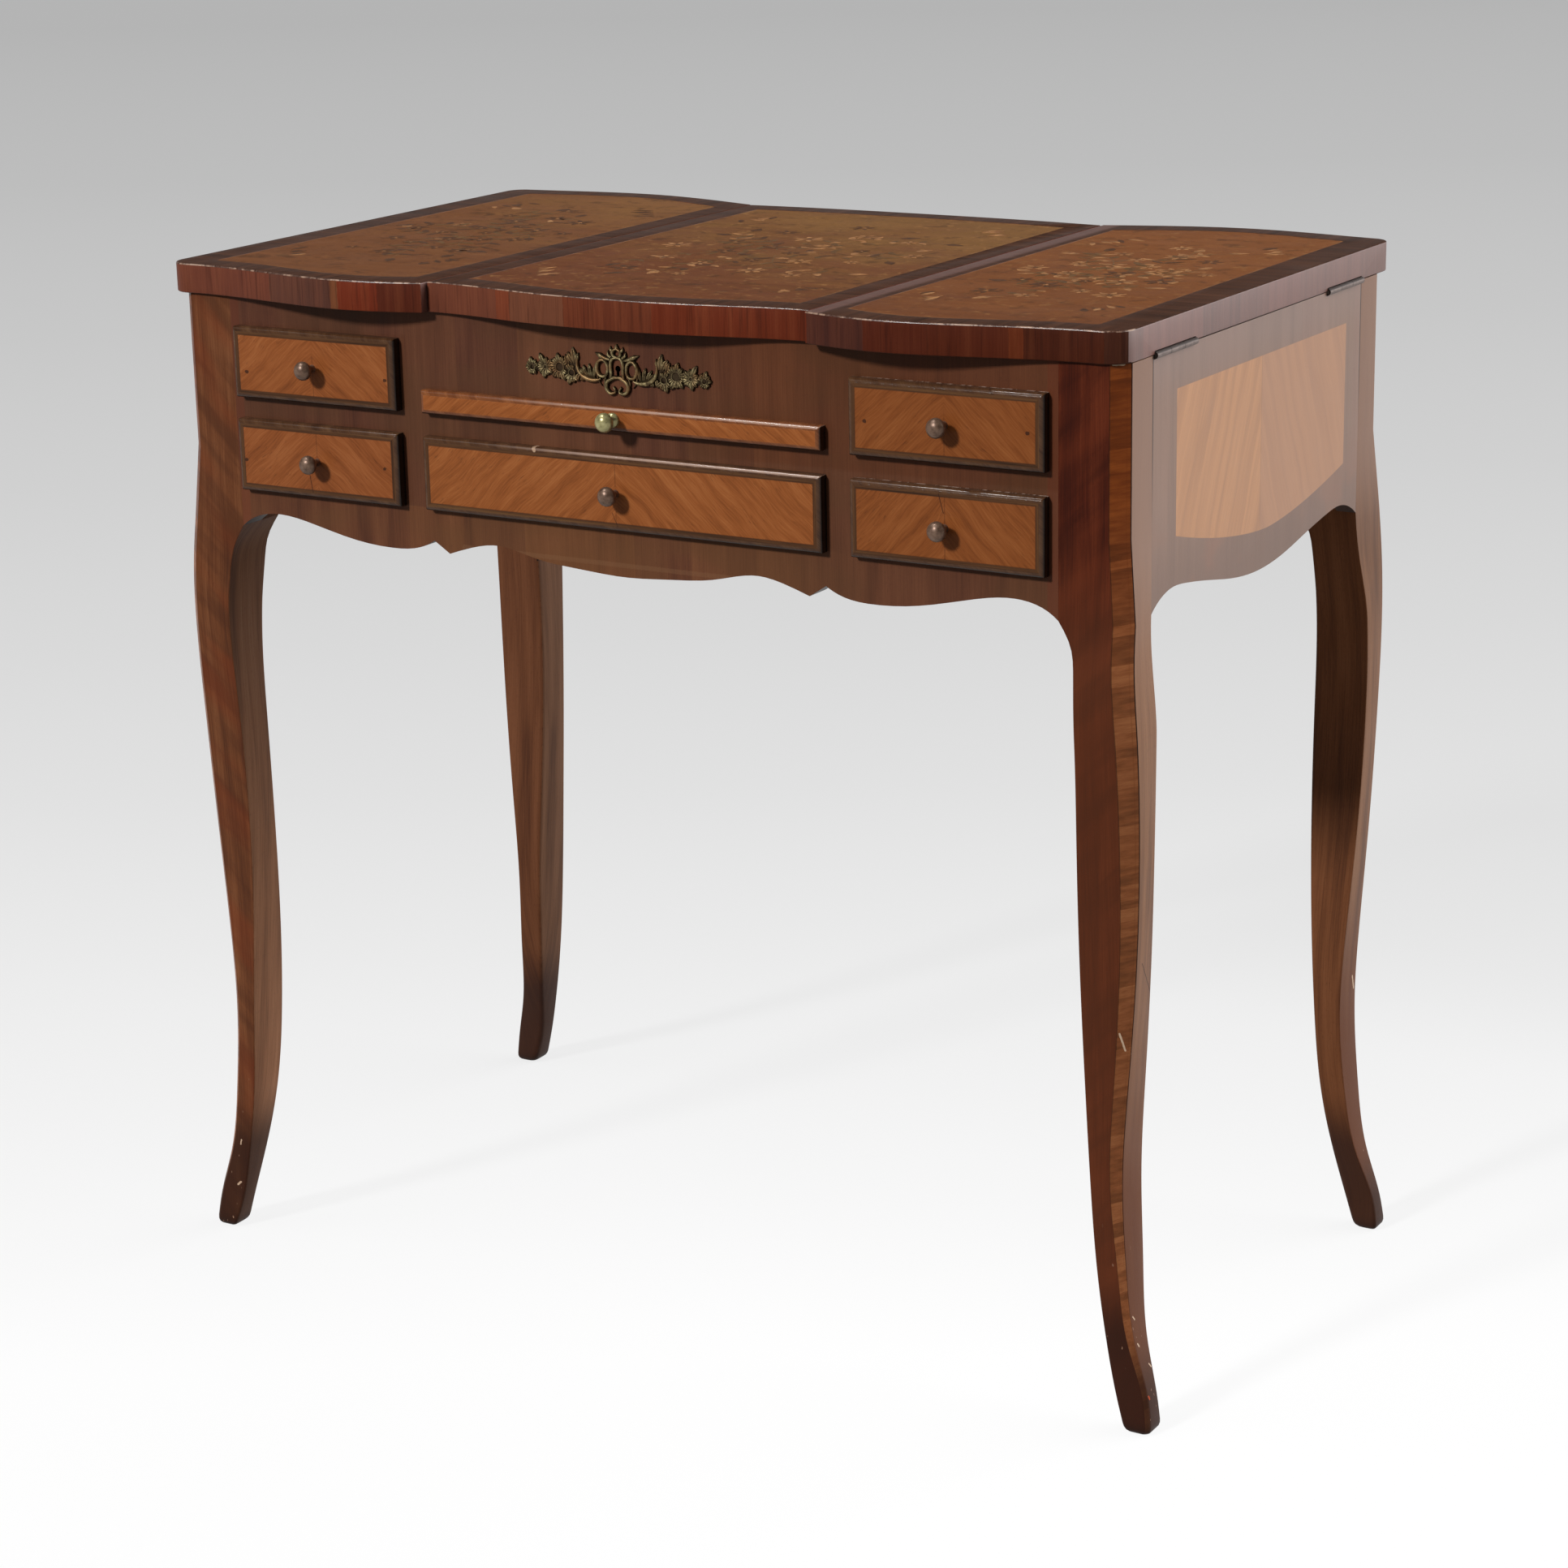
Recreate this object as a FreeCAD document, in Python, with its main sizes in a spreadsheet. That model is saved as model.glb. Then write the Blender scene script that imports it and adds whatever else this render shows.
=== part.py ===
"""Poudreuse dressing table: a shallow case on four curved legs, with a lift-up mirror lid between two
side leaves, a writing slide, three drawers and two false drawer fronts.

Millimetres, +Z up, +X to the user's right, front towards -Y. The origin is on the floor below the
middle of the case.
"""
import FreeCAD, Part

import os
import Sketcher

from FreeCAD import Placement, Rotation, Vector

# Driving sizes in millimetres, each one a cell of the sheet
SIZES = {
    # Case and top
    "overall_height": 730.0,
    "case_width": 733.3,
    "case_depth": 412.9,
    "leaf_thickness": 20.5,
    "lid_gap": 0.3,
    "leaf_joint_offset": 5.5,
    "leaf_joint_gap": 1.0,
    "right_leaf_overhang": 0.6,
    "left_leaf_overhang": 7.0,
    "front_overhang": 21.5,
    "back_overhang": 27.31,
    "leaf_front_corner": 17.0,
    "leaf_back_corner": 14.0,
    "veneer_thickness": 1.0,
    "field_edge_inset": 21.0,
    "field_side_inset": 27.0,
    "field_joint_inset": 18.5,
    "field_corner": 4.0,
    # Posts and legs
    "post_width": 45.0,
    "post_depth": 39.75,
    "corner_cant": 10.5,
    "knee_drop": 27.6,
    "post_easing_height": 54.0,
    "foot_kick": 21.6,
    # Panels and rails
    "panel_thickness": 14.0,
    "front_thickness": 20.0,
    "partition_x": 143.0,
    "partition_foot_drop": 15.6,
    "front_apron_drop": 36.6,
    "side_apron_drop": 6.0,
    "side_apron_rise": 17.0,
    "side_field_inset": 31.2,
    "side_field_top_margin": 26.0,
    "side_field_foot_margin": 20.0,
    "side_field_bottom_rise": 21.0,
    # Drawer fronts
    "front_proud": 8.0,
    "front_rounding": 2.4,
    "front_gap": 0.3,
    "drawer_lip": 4.0,
    "side_front_inset": 19.9,
    "side_front_post_gap": 6.05,
    "centre_front_lap": 13.5,
    "false_front_top_margin": 19.6,
    "false_front_height": 49.9,
    "front_row_gap": 15.0,
    "drawer_front_height": 51.1,
    "slide_row_gap": 15.5,
    "slide_front_height": 16.4,
    "slide_lip": 2.5,
    # Drawers, slide and what carries them
    "running_gap": 0.3,
    "drawer_side_gap": 0.8,
    "drawer_plug_depth": 14.0,
    "drawer_side_thickness": 8.0,
    "drawer_top_gap": 2.0,
    "drawer_back_margin": 42.45,
    "drawer_bottom_thickness": 5.0,
    "drawer_bottom_height": 3.0,
    "slide_thickness": 10.8,
    "slide_back_margin": 29.45,
    "runner_thickness": 8.0,
    "runner_width": 14.0,
    "guide_height": 12.4,
    "well_floor_margin": 6.3,
    "compartment_floor_margin": 5.9,
    "floor_thickness": 6.0,
    # Knobs
    "knob_reach": 19.55,
    "knob_radius": 6.6,
    "knob_ferrule_radius": 4.2,
    "knob_ferrule_length": 2.2,
    "knob_neck_radius": 2.4,
    # Lock and its mount
    "keyhole_drop": 28.2,
    "keyhole_radius": 2.1,
    "keyhole_slot_width": 2.2,
    "keyhole_slot_length": 6.5,
    "escutcheon_half_length": 73.0,
    "escutcheon_foot_drop": 20.0,
    "escutcheon_height": 36.0,
    "escutcheon_thickness": 2.0,
    "lock_width": 48.0,
    "lock_depth": 12.0,
    "lock_foot_drop": 13.0,
    "lock_height": 36.0,
    "bolt_width": 13.0,
    "bolt_depth": 5.0,
    "bolt_inset": 3.2,
    "bolt_foot_rise": 3.0,
    "bolt_top_drop": 1.0,
    "bolt_throw": 6.0,
    "bolt_clearance": 0.3,
    "strike_clearance": 1.0,
    "strike_width": 32.0,
    "strike_depth": 19.0,
    "strike_thickness": 1.2,
    # Mirror
    "mirror_side_clearance": 7.0,
    "mirror_lock_clearance": 4.45,
    "mirror_back_clearance": 12.45,
    "mirror_frame_width": 16.0,
    "mirror_frame_thickness": 8.0,
    "mirror_glass_thickness": 4.0,
    # Butt hinges
    "hinge_length": 60.0,
    "hinge_plate_width": 11.5,
    "hinge_plate_thickness": 1.4,
    "hinge_knuckle_radius": 2.3,
    "hinge_knuckle_gap": 0.3,
    "hinge_recess_clearance": 0.5,
    "hinge_pin_radius": 1.1,
    "hinge_pin_clearance": 0.05,
    "leaf_hinge_post_gap": 0.7,
    "leaf_hinge_clearance": 0.3,
    "lid_hinge_inset": 64.5,
    "lid_hinge_offset": 1.2,
    "cut_overrun": 2.0,
}

# Rows of the leg from the floor to the knee: height as a share of the knee height, shift of the outer
# faces along X and Y as shares of the foot kick, distance of the inner faces from the post's inner faces
# as shares of the post's width and depth, and the corner cant as a share of the post's cant
LEG_SHARES = (
    (0.000, 1.000, -0.055, 1.074, 0.509, 0.37),
    (0.046, 0.805, 0.050, 0.965, 0.550, 0.41),
    (0.110, 0.445, -0.180, 0.757, 0.386, 0.47),
    (0.201, 0.135, -0.300, 0.553, 0.258, 0.55),
    (0.311, -0.015, -0.330, 0.422, 0.175, 0.63),
    (0.440, 0.045, -0.220, 0.367, 0.137, 0.72),
    (0.586, 0.200, -0.005, 0.338, 0.140, 0.83),
    (0.733, 0.325, 0.210, 0.333, 0.182, 0.93),
    (0.879, 0.380, 0.305, 0.320, 0.190, 1.04),
    (0.943, 0.285, 0.240, 0.208, 0.158, 1.06),
    (0.973, 0.235, 0.190, 0.141, 0.108, 1.05),
    (1.000, 0.190, 0.150, 0.000, 0.000, 1.04),
)

# Lower edge of the front apron from the post to the notch, and from the point below it to the centre:
# X as a share of the apron's half width, drop as a share of the apron's full drop
APRON_ARCH_SHARES = ((0.950, 0.620), (0.908, 0.563), (0.808, 0.672), (0.700, 0.877), (0.591, 0.959),
                     (0.522, 0.890), (0.482, 0.727))
APRON_CENTRE_SHARES = ((0.443, 0.945), (0.401, 0.822), (0.320, 0.686), (0.218, 0.850), (0.115, 0.945),
                       (0.000, 1.000))

# Lower edge of a side panel from the post to the middle: Y as a share of the panel's half length,
# height above the lowest point as a share of the apron's rise
SIDE_APRON_SHARES = ((0.900, 0.850), (0.820, 1.000), (0.700, 0.930), (0.500, 0.620), (0.260, 0.200),
                     (0.000, 0.000))

# Lower edge of the veneer field of a side, as shares of its half length and of its rise
SIDE_FIELD_SHARES = ((0.720, 0.880), (0.400, 0.330), (0.000, 0.000))

# Front and back edges of a leaf: place as a share of its width from the joint, overhang beyond the case
# as a share of the full overhang
LEAF_FRONT_SHARES = ((0.00, 0.49), (0.14, 0.84), (0.28, 1.00), (0.50, 0.80), (0.74, 0.36), (1.00, 0.16))
LEAF_BACK_SHARES = ((0.00, 0.13), (0.20, 0.60), (0.40, 0.93), (0.55, 1.00), (0.80, 0.80), (1.00, 0.55))

# Front and back edges of the centre lid from its middle to its end, in the same shares
LID_FRONT_SHARES = ((0.00, 0.93), (0.42, 0.75), (0.78, 0.30), (1.00, 0.20))
LID_BACK_SHARES = ((0.00, 0.27), (0.50, 0.24), (1.00, 0.06))

# Half outline of the keyhole mount from its crown round to its foot, as shares of its half length and
# height, and the two openings in each wing
ESCUTCHEON_SHARES = ((0.000, 1.00), (0.085, 0.97), (0.120, 0.82), (0.200, 0.66), (0.320, 0.70),
                     (0.400, 0.90), (0.470, 0.88), (0.500, 0.68), (0.570, 0.50), (0.700, 0.54),
                     (0.850, 0.62), (0.970, 0.56), (1.000, 0.44), (0.930, 0.32), (0.800, 0.36),
                     (0.700, 0.20), (0.570, 0.08), (0.420, 0.12), (0.300, 0.30), (0.180, 0.26),
                     (0.120, 0.05), (0.050, 0.00), (0.000, 0.04))
ESCUTCHEON_OPENING_SHARES = ((0.330, 0.50, 0.075), (0.560, 0.30, 0.070))

# Share of a hinge's length that each of its three knuckles takes
KNUCKLE_SHARE = 1 / 3

document = FreeCAD.newDocument("dressing_table")
sheet = document.addObject("Spreadsheet::Sheet", "Sizes")
pieces = {}


class Size:
    """A size of the sheet, or a sum of such sizes, as a number and as the expression behind it."""

    def __init__(self, number, text):
        self.number = number
        self.text = text

    def __float__(self):
        return self.number

    def __lt__(self, other):
        return self.number < float(other)

    def __neg__(self):
        return Size(-self.number, f"(0 - {self.text})")

    def __add__(self, other):
        return Size(self.number + other.number, f"({self.text} + {other.text})")

    def __sub__(self, other):
        return Size(self.number - other.number, f"({self.text} - {other.text})")

    def __mul__(self, factor):
        return Size(self.number * factor, f"({self.text} * {factor:.6f})")

    def __truediv__(self, divisor):
        return Size(self.number / divisor, f"({self.text} / {divisor})")


def fill_sheet():
    """Write the sizes into the sheet and return them by name."""
    sizes = {}
    for row, (name, number) in enumerate(SIZES.items(), start=1):
        sheet.set(f"A{row}", name)
        sheet.set(f"B{row}", str(number))
        sheet.setAlias(f"B{row}", name)
        sizes[name] = Size(number, f"Sizes.{name}")
    document.recompute()
    return sizes


S = fill_sheet()
ZERO = Size(0.0, "0")

# Planes and heights that several pieces share
HALF_WIDTH = S["case_width"] / 2
HALF_DEPTH = S["case_depth"] / 2
LEAF_BOTTOM = S["overall_height"] - S["leaf_thickness"]
CASE_TOP = LEAF_BOTTOM - S["lid_gap"]
POST_X = HALF_WIDTH - S["post_width"]
POST_Y = HALF_DEPTH - S["post_depth"]
SIDE_INNER_X = HALF_WIDTH - S["panel_thickness"]
FRONT_BACK_Y = -HALF_DEPTH + S["front_thickness"]
BACK_INNER_Y = HALF_DEPTH - S["panel_thickness"]
PARTITION_OUTER_X = S["partition_x"] + S["panel_thickness"]
LEAF_JOINT_X = S["partition_x"] + S["leaf_joint_offset"]
FACE_Y = -HALF_DEPTH - S["front_proud"]
LIP_BACK_Y = -HALF_DEPTH - S["front_gap"]
CENTRE_FRONT_X = (-S["partition_x"] - S["centre_front_lap"], S["partition_x"] + S["centre_front_lap"])
SIDE_FRONT_X = (PARTITION_OUTER_X + S["side_front_inset"], POST_X - S["side_front_post_gap"])
SIDE_OPENING = (SIDE_FRONT_X[0] + S["drawer_lip"], SIDE_FRONT_X[1] - S["drawer_lip"])
SIDE_KNOB_X = (SIDE_FRONT_X[0] + SIDE_FRONT_X[1]) / 2

# Heights, worked out from the top of the case down to the knee of the legs
FALSE_FRONT_TOP = CASE_TOP - S["false_front_top_margin"]
FALSE_FRONT_BOTTOM = FALSE_FRONT_TOP - S["false_front_height"]
DRAWER_FRONT_TOP = FALSE_FRONT_BOTTOM - S["front_row_gap"]
DRAWER_FRONT_BOTTOM = DRAWER_FRONT_TOP - S["drawer_front_height"]
SLIDE_FRONT_BOTTOM = DRAWER_FRONT_TOP + S["slide_row_gap"]
SLIDE_FRONT_TOP = SLIDE_FRONT_BOTTOM + S["slide_front_height"]
RUNNER_TOP = DRAWER_FRONT_BOTTOM + S["drawer_lip"]
OPENING_TOP = DRAWER_FRONT_TOP - S["drawer_lip"]
SLIDE_RUNNER_TOP = SLIDE_FRONT_BOTTOM + S["slide_lip"]
SLIDE_OPENING_TOP = SLIDE_RUNNER_TOP + S["slide_thickness"] + S["running_gap"] * 2
KNEE_HEIGHT = DRAWER_FRONT_BOTTOM - S["knee_drop"]
KEYHOLE_HEIGHT = CASE_TOP - S["keyhole_drop"]


def bind(item, **expressions):
    """Bind properties of an object to sizes of the sheet."""
    for name, size in expressions.items():
        item.setExpression(name.replace("__", "."), size.text)
    return item


def place(item, x, y, z, rotation=None):
    """Put an object at a point given in sizes, with an optional rotation."""
    if rotation:
        item.Placement = Placement(Vector(), rotation)
    return bind(item, Placement__Base__x=x, Placement__Base__y=y, Placement__Base__z=z)


def keep(label, item, solids=1):
    """Name an object as a piece of the table, with the number of solids that it holds."""
    item.Label = label
    pieces[label] = (item, solids)
    return item


def board(name, x, y, z):
    """A straight board between two places on each axis."""
    (west, east), (front, back), (bottom, top) = (sorted(pair) for pair in (x, y, z))
    box = document.addObject("Part::Box", name)
    bind(box, Length=east - west, Width=back - front, Height=top - bottom)
    return place(box, west, front, bottom)


def rod(name, radius, length, x, y, z, rotation=None):
    """A round bar that starts at a point and runs along Z, or along the turned Z."""
    cylinder = document.addObject("Part::Cylinder", name)
    bind(cylinder, Radius=radius, Height=length)
    return place(cylinder, x, y, z, rotation)


def fused(name, *parts):
    """One solid from several that meet or overlap."""
    union = document.addObject("Part::MultiFuse", name)
    union.Shapes = list(parts)
    union.Refine = True
    return union


def cut(name, base, *tools):
    """The base without the space of the tools."""
    for tool in tools:
        result = document.addObject("Part::Cut", name)
        result.Base = base
        result.Tool = tool
        base = result
    return base


def group(name, *parts):
    """Several separate solids as one piece."""
    compound = document.addObject("Part::Compound", name)
    compound.Links = list(parts)
    return compound


def mirrored(name, source, normal):
    """The mirror image of an object across a plane through the origin."""
    image = document.addObject("Part::Mirroring", name)
    image.Source = source
    image.Normal = normal
    return image


def left_of(name, source):
    """The same piece on the other side of the table."""
    return mirrored(name, source, Vector(1, 0, 0))


def on_side(side, name, source):
    """A piece that was built on the right, moved to the left side if it belongs there."""
    return left_of(name, source) if side == "left" else source


def extruded(name, face, direction, length):
    """A slab with a free outline: the face pushed along a direction."""
    outline = document.addObject("Part::Feature", name + "_outline")
    outline.Shape = face
    slab = document.addObject("Part::Extrusion", name)
    slab.Base = outline
    slab.DirMode = "Custom"
    slab.Dir = direction
    slab.Solid = True
    return bind(slab, LengthFwd=length)


def profile_body(name, plane_role, corners, start, length):
    """A body padded from a sketch of straight lines; start is how far the sketch lies along its normal."""
    body = document.addObject("PartDesign::Body", name)
    sketch = body.newObject("Sketcher::SketchObject", name + "_sketch")
    plane = next(item for item in body.Origin.OriginFeatures if item.Role == plane_role)
    sketch.AttachmentSupport = [(plane, "")]
    sketch.MapMode = "FlatFace"
    sketch.setExpression("AttachmentOffset.Base.z", start.text)
    points = [Vector(float(across), float(along)) for across, along in corners]
    for point, following in zip(points, points[1:] + points[:1]):
        sketch.addGeometry(Part.LineSegment(point, following))
    for index, (across, along) in enumerate(corners):
        following = (index + 1) % len(corners)
        sketch.addConstraint(Sketcher.Constraint("Coincident", index, 2, following, 1))
        for kind, size in (("DistanceX", across), ("DistanceY", along)):
            number = sketch.addConstraint(Sketcher.Constraint(kind, -1, 1, index, 1, float(size)))
            sketch.setExpression(f"Constraints[{number}]", size.text)
    pad = body.newObject("PartDesign::Pad", name + "_pad")
    pad.Profile = sketch
    return bind(pad, Length=length).getParentGeoFeatureGroup()


def rounded_front(name, source, radius):
    """A board with the edges of its front face rounded."""
    document.recompute()
    front = source.Shape.BoundBox.YMin
    edges = [number for number, edge in enumerate(source.Shape.Edges, start=1)
             if edge.BoundBox.YMax - front < float(radius)]
    fillet = document.addObject("Part::Fillet", name)
    fillet.Base = source
    fillet.Edges = [(number, float(radius), float(radius)) for number in edges]
    return fillet


def smooth(points):
    """A smooth edge through the points."""
    spline = Part.BSplineCurve()
    spline.interpolate([Vector(*point) for point in points])
    return spline.toShape()


def straight(start, end):
    """A straight edge between two points."""
    return Part.makeLine(Vector(*start), Vector(*end))


def face_of(*edges):
    """A flat face inside a closed run of edges."""
    return Part.Face(Part.Wire(Part.__sortEdges__(list(edges))))


def leg_section(height, outer_x, outer_y, inner_x, inner_y, cant):
    """The cross-section of a leg: a rectangle with its outer corner cut off."""
    corners = [(inner_x, inner_y), (outer_x, inner_y), (outer_x, outer_y - cant),
               (outer_x - cant, outer_y), (inner_x, outer_y)]
    points = [Vector(x, y, height) for x, y in corners]
    return Part.makePolygon(points + points[:1])


def leg_shape():
    """The back right leg: a curved shaft up to the knee, a short easing and the straight post."""
    half_width, half_depth = float(HALF_WIDTH), float(HALF_DEPTH)
    kick, cant = SIZES["foot_kick"], SIZES["corner_cant"]
    rows = []
    for height, shift_x, shift_y, inset_x, inset_y, cant_share in LEG_SHARES:
        rows.append(leg_section(height * float(KNEE_HEIGHT),
                                half_width + shift_x * kick,
                                half_depth + shift_y * kick,
                                float(POST_X) + inset_x * SIZES["post_width"],
                                float(POST_Y) + inset_y * SIZES["post_depth"],
                                cant_share * cant))
    post_foot = leg_section(float(KNEE_HEIGHT + S["post_easing_height"]), half_width, half_depth,
                            float(POST_X), float(POST_Y), cant)
    post_top = leg_section(float(CASE_TOP), half_width, half_depth, float(POST_X), float(POST_Y), cant)
    shaft = Part.makeLoft(rows, True, False)
    easing = Part.makeLoft([rows[-1], post_foot], True, True)
    post = Part.makeLoft([post_foot, post_top], True, True)
    return shaft.fuse([easing, post]).removeSplitter()


def make_legs():
    """Four legs, the mirror images of one."""
    leg = document.addObject("Part::Feature", "leg_back_right")
    leg.Shape = leg_shape()
    front = mirrored("leg_front_right", leg, Vector(0, 1, 0))
    keep("leg_back_right", leg)
    keep("leg_front_right", front)
    keep("leg_back_left", left_of("leg_back_left", leg))
    keep("leg_front_left", left_of("leg_front_left", front))


def apron_edges():
    """The lower edge of the front and back aprons, from the right post to the left one."""
    half, drop, top = float(POST_X), SIZES["front_apron_drop"], float(RUNNER_TOP)
    arch = [(half, float(KNEE_HEIGHT))] + [(x * half, top - z * drop) for x, z in APRON_ARCH_SHARES]
    centre = [(x * half, top - z * drop) for x, z in APRON_CENTRE_SHARES]
    centre += [(-x, z) for x, z in reversed(centre[:-1])]
    lines = [smooth([(x, 0, z) for x, z in arch]),
             straight((arch[-1][0], 0, arch[-1][1]), (centre[0][0], 0, centre[0][1])),
             smooth([(x, 0, z) for x, z in centre]),
             straight((centre[-1][0], 0, centre[-1][1]), (-arch[-1][0], 0, arch[-1][1])),
             smooth([(-x, 0, z) for x, z in arch])]
    return lines


def apron_face(top, y):
    """The face of an apron panel between the posts, up to a height."""
    half, foot, top = float(POST_X), float(KNEE_HEIGHT), float(top)
    face = face_of(*apron_edges(),
                   straight((half, 0, foot), (half, 0, top)),
                   straight((half, 0, top), (-half, 0, top)),
                   straight((-half, 0, top), (-half, 0, foot)))
    return face.translated(Vector(0, float(y), 0))


def make_front():
    """The front: apron, stiles, boards behind the false drawers, the slide's rail and the lock panel."""
    depth = (-HALF_DEPTH, FRONT_BACK_Y)
    keep("front_apron", extruded("front_apron", apron_face(RUNNER_TOP, -HALF_DEPTH), Vector(0, 1, 0),
                                 S["front_thickness"]))
    stile = board("front_stile_right", (S["partition_x"], SIDE_OPENING[0]), depth, (RUNNER_TOP, CASE_TOP))
    upper = board("front_board_right", (SIDE_OPENING[0], POST_X), depth, (OPENING_TOP, CASE_TOP))
    outer = board("outer_stile_right", (SIDE_OPENING[1], POST_X), depth, (RUNNER_TOP, OPENING_TOP))
    keep("front_stile_right", stile)
    keep("front_stile_left", left_of("front_stile_left", stile))
    keep("front_board_right", upper)
    keep("front_board_left", left_of("front_board_left", upper))
    keep("outer_stiles", group("outer_stiles", outer, left_of("outer_stile_left", outer)), solids=2)
    centre = (-S["partition_x"], S["partition_x"])
    keep("slide_rail", board("slide_rail", centre, depth, (OPENING_TOP, SLIDE_RUNNER_TOP)))
    panel = board("lock_panel", centre, depth, (SLIDE_OPENING_TOP, CASE_TOP))
    keep("lock_panel", cut("lock_panel_pierced", panel, keyhole("panel", S["front_thickness"])))


def keyhole(name, depth):
    """The space of a keyhole, cut from the front plane of the case to a depth behind it."""
    overrun = S["cut_overrun"] + S["escutcheon_thickness"]
    height = KEYHOLE_HEIGHT
    half_slot = S["keyhole_slot_width"] / 2
    eye = rod(f"{name}_keyhole_eye", S["keyhole_radius"], depth + overrun * 2,
              ZERO, -HALF_DEPTH + depth + overrun, height, Rotation(Vector(1, 0, 0), 90))
    slot = board(f"{name}_keyhole_slot", (-half_slot, half_slot),
                 (-HALF_DEPTH - overrun, -HALF_DEPTH + depth + overrun),
                 (height - S["keyhole_slot_length"], height))
    return fused(f"{name}_keyhole", eye, slot)


def side_edge(half_length, shares, bottom, rise, end_height):
    """A smooth lower edge that is the same towards the front and the back."""
    half = [(half_length, end_height)] + [(y * half_length, bottom + z * rise) for y, z in shares]
    return half + [(-y, z) for y, z in reversed(half[:-1])]


def side_face(lower, top, x):
    """An upright face along a side, above a smooth lower edge."""
    (back, back_foot), (front, front_foot) = lower[0], lower[-1]
    return face_of(smooth([(x, y, z) for y, z in lower]),
                   straight((x, back, back_foot), (x, back, top)),
                   straight((x, back, top), (x, front, top)),
                   straight((x, front, top), (x, front, front_foot)))


def make_sides(hinge_spaces):
    """The side panels with their inlaid veneer fields, and the back panel."""
    lower = side_edge(float(POST_Y), SIDE_APRON_SHARES, float(KNEE_HEIGHT - S["side_apron_drop"]),
                      SIZES["side_apron_rise"], float(KNEE_HEIGHT))
    field_foot = KNEE_HEIGHT + S["side_field_foot_margin"]
    field_lower = side_edge(float(POST_Y - S["side_field_inset"]), SIDE_FIELD_SHARES, float(field_foot),
                            SIZES["side_field_bottom_rise"],
                            float(field_foot + S["side_field_bottom_rise"]))
    plain = extruded("side_panel_plain", side_face(lower, float(CASE_TOP), float(SIDE_INNER_X)),
                     Vector(1, 0, 0), S["panel_thickness"])
    field_x = float(HALF_WIDTH - S["veneer_thickness"])
    field_top = float(CASE_TOP - S["side_field_top_margin"])
    field = extruded("side_field_right", side_face(field_lower, field_top, field_x), Vector(1, 0, 0),
                     S["veneer_thickness"])
    for side in ("right", "left"):
        panel = cut(f"side_panel_{side}_cut", plain, field, *hinge_spaces[side])
        keep(f"side_panel_{side}", on_side(side, f"side_panel_{side}_piece", panel))
    keep("side_field_right", field)
    keep("side_field_left", left_of("side_field_left", field))
    back = extruded("back_panel_plain", apron_face(CASE_TOP, BACK_INNER_Y), Vector(0, 1, 0),
                    S["panel_thickness"])
    keep("back_panel", cut("back_panel", back, *hinge_spaces["lid"]))


def make_inside():
    """Partitions, floors of the wells and of the centre compartment, and the runners."""
    depth = (FRONT_BACK_Y, BACK_INNER_Y)
    length = BACK_INNER_Y - FRONT_BACK_Y
    partition = board("partition_right", (S["partition_x"], PARTITION_OUTER_X), depth,
                      (RUNNER_TOP - S["partition_foot_drop"], CASE_TOP))
    keep("partition_right", partition)
    keep("partition_left", left_of("partition_left", partition))

    well = profile_body("well_floor_right", "XY_Plane",
                        [(PARTITION_OUTER_X, FRONT_BACK_Y), (POST_X, FRONT_BACK_Y), (POST_X, -POST_Y),
                         (SIDE_INNER_X, -POST_Y), (SIDE_INNER_X, POST_Y), (POST_X, POST_Y),
                         (POST_X, BACK_INNER_Y), (PARTITION_OUTER_X, BACK_INNER_Y)],
                        OPENING_TOP + S["well_floor_margin"], S["floor_thickness"])
    keep("well_floor_right", well)
    keep("well_floor_left", left_of("well_floor_left", well))
    floor_foot = SLIDE_OPENING_TOP + S["compartment_floor_margin"]
    keep("compartment_floor", board("compartment_floor", (-S["partition_x"], S["partition_x"]), depth,
                                    (floor_foot, floor_foot + S["floor_thickness"])))

    foot = RUNNER_TOP - S["runner_thickness"]
    guide = RUNNER_TOP + S["guide_height"]
    inner_end = SIDE_OPENING[0] + S["runner_width"]
    outer_end = SIDE_OPENING[1] - S["runner_width"]
    inner = profile_body("inner_runner_right", "XZ_Plane",
                         [(PARTITION_OUTER_X, foot), (inner_end, foot), (inner_end, RUNNER_TOP),
                          (SIDE_OPENING[0], RUNNER_TOP), (SIDE_OPENING[0], guide),
                          (PARTITION_OUTER_X, guide)],
                         -BACK_INNER_Y, length)
    outer = profile_body("outer_runner_right", "XZ_Plane",
                         [(outer_end, foot), (POST_X, foot), (POST_X, guide), (SIDE_OPENING[1], guide),
                          (SIDE_OPENING[1], RUNNER_TOP), (outer_end, RUNNER_TOP)],
                         -BACK_INNER_Y, length)
    keep("side_drawer_runners", group("side_drawer_runners", inner, outer,
                                      left_of("inner_runner_left", inner),
                                      left_of("outer_runner_left", outer)), solids=4)
    runners = []
    for name, top in (("drawer", RUNNER_TOP), ("slide", SLIDE_RUNNER_TOP)):
        runner = board(f"centre_{name}_runner", (S["partition_x"] - S["runner_width"], S["partition_x"]),
                       depth, (top - S["runner_thickness"], top))
        runners += [runner, left_of(f"centre_{name}_runner_left", runner)]
    keep("centre_runners", group("centre_runners", *runners), solids=4)


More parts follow.
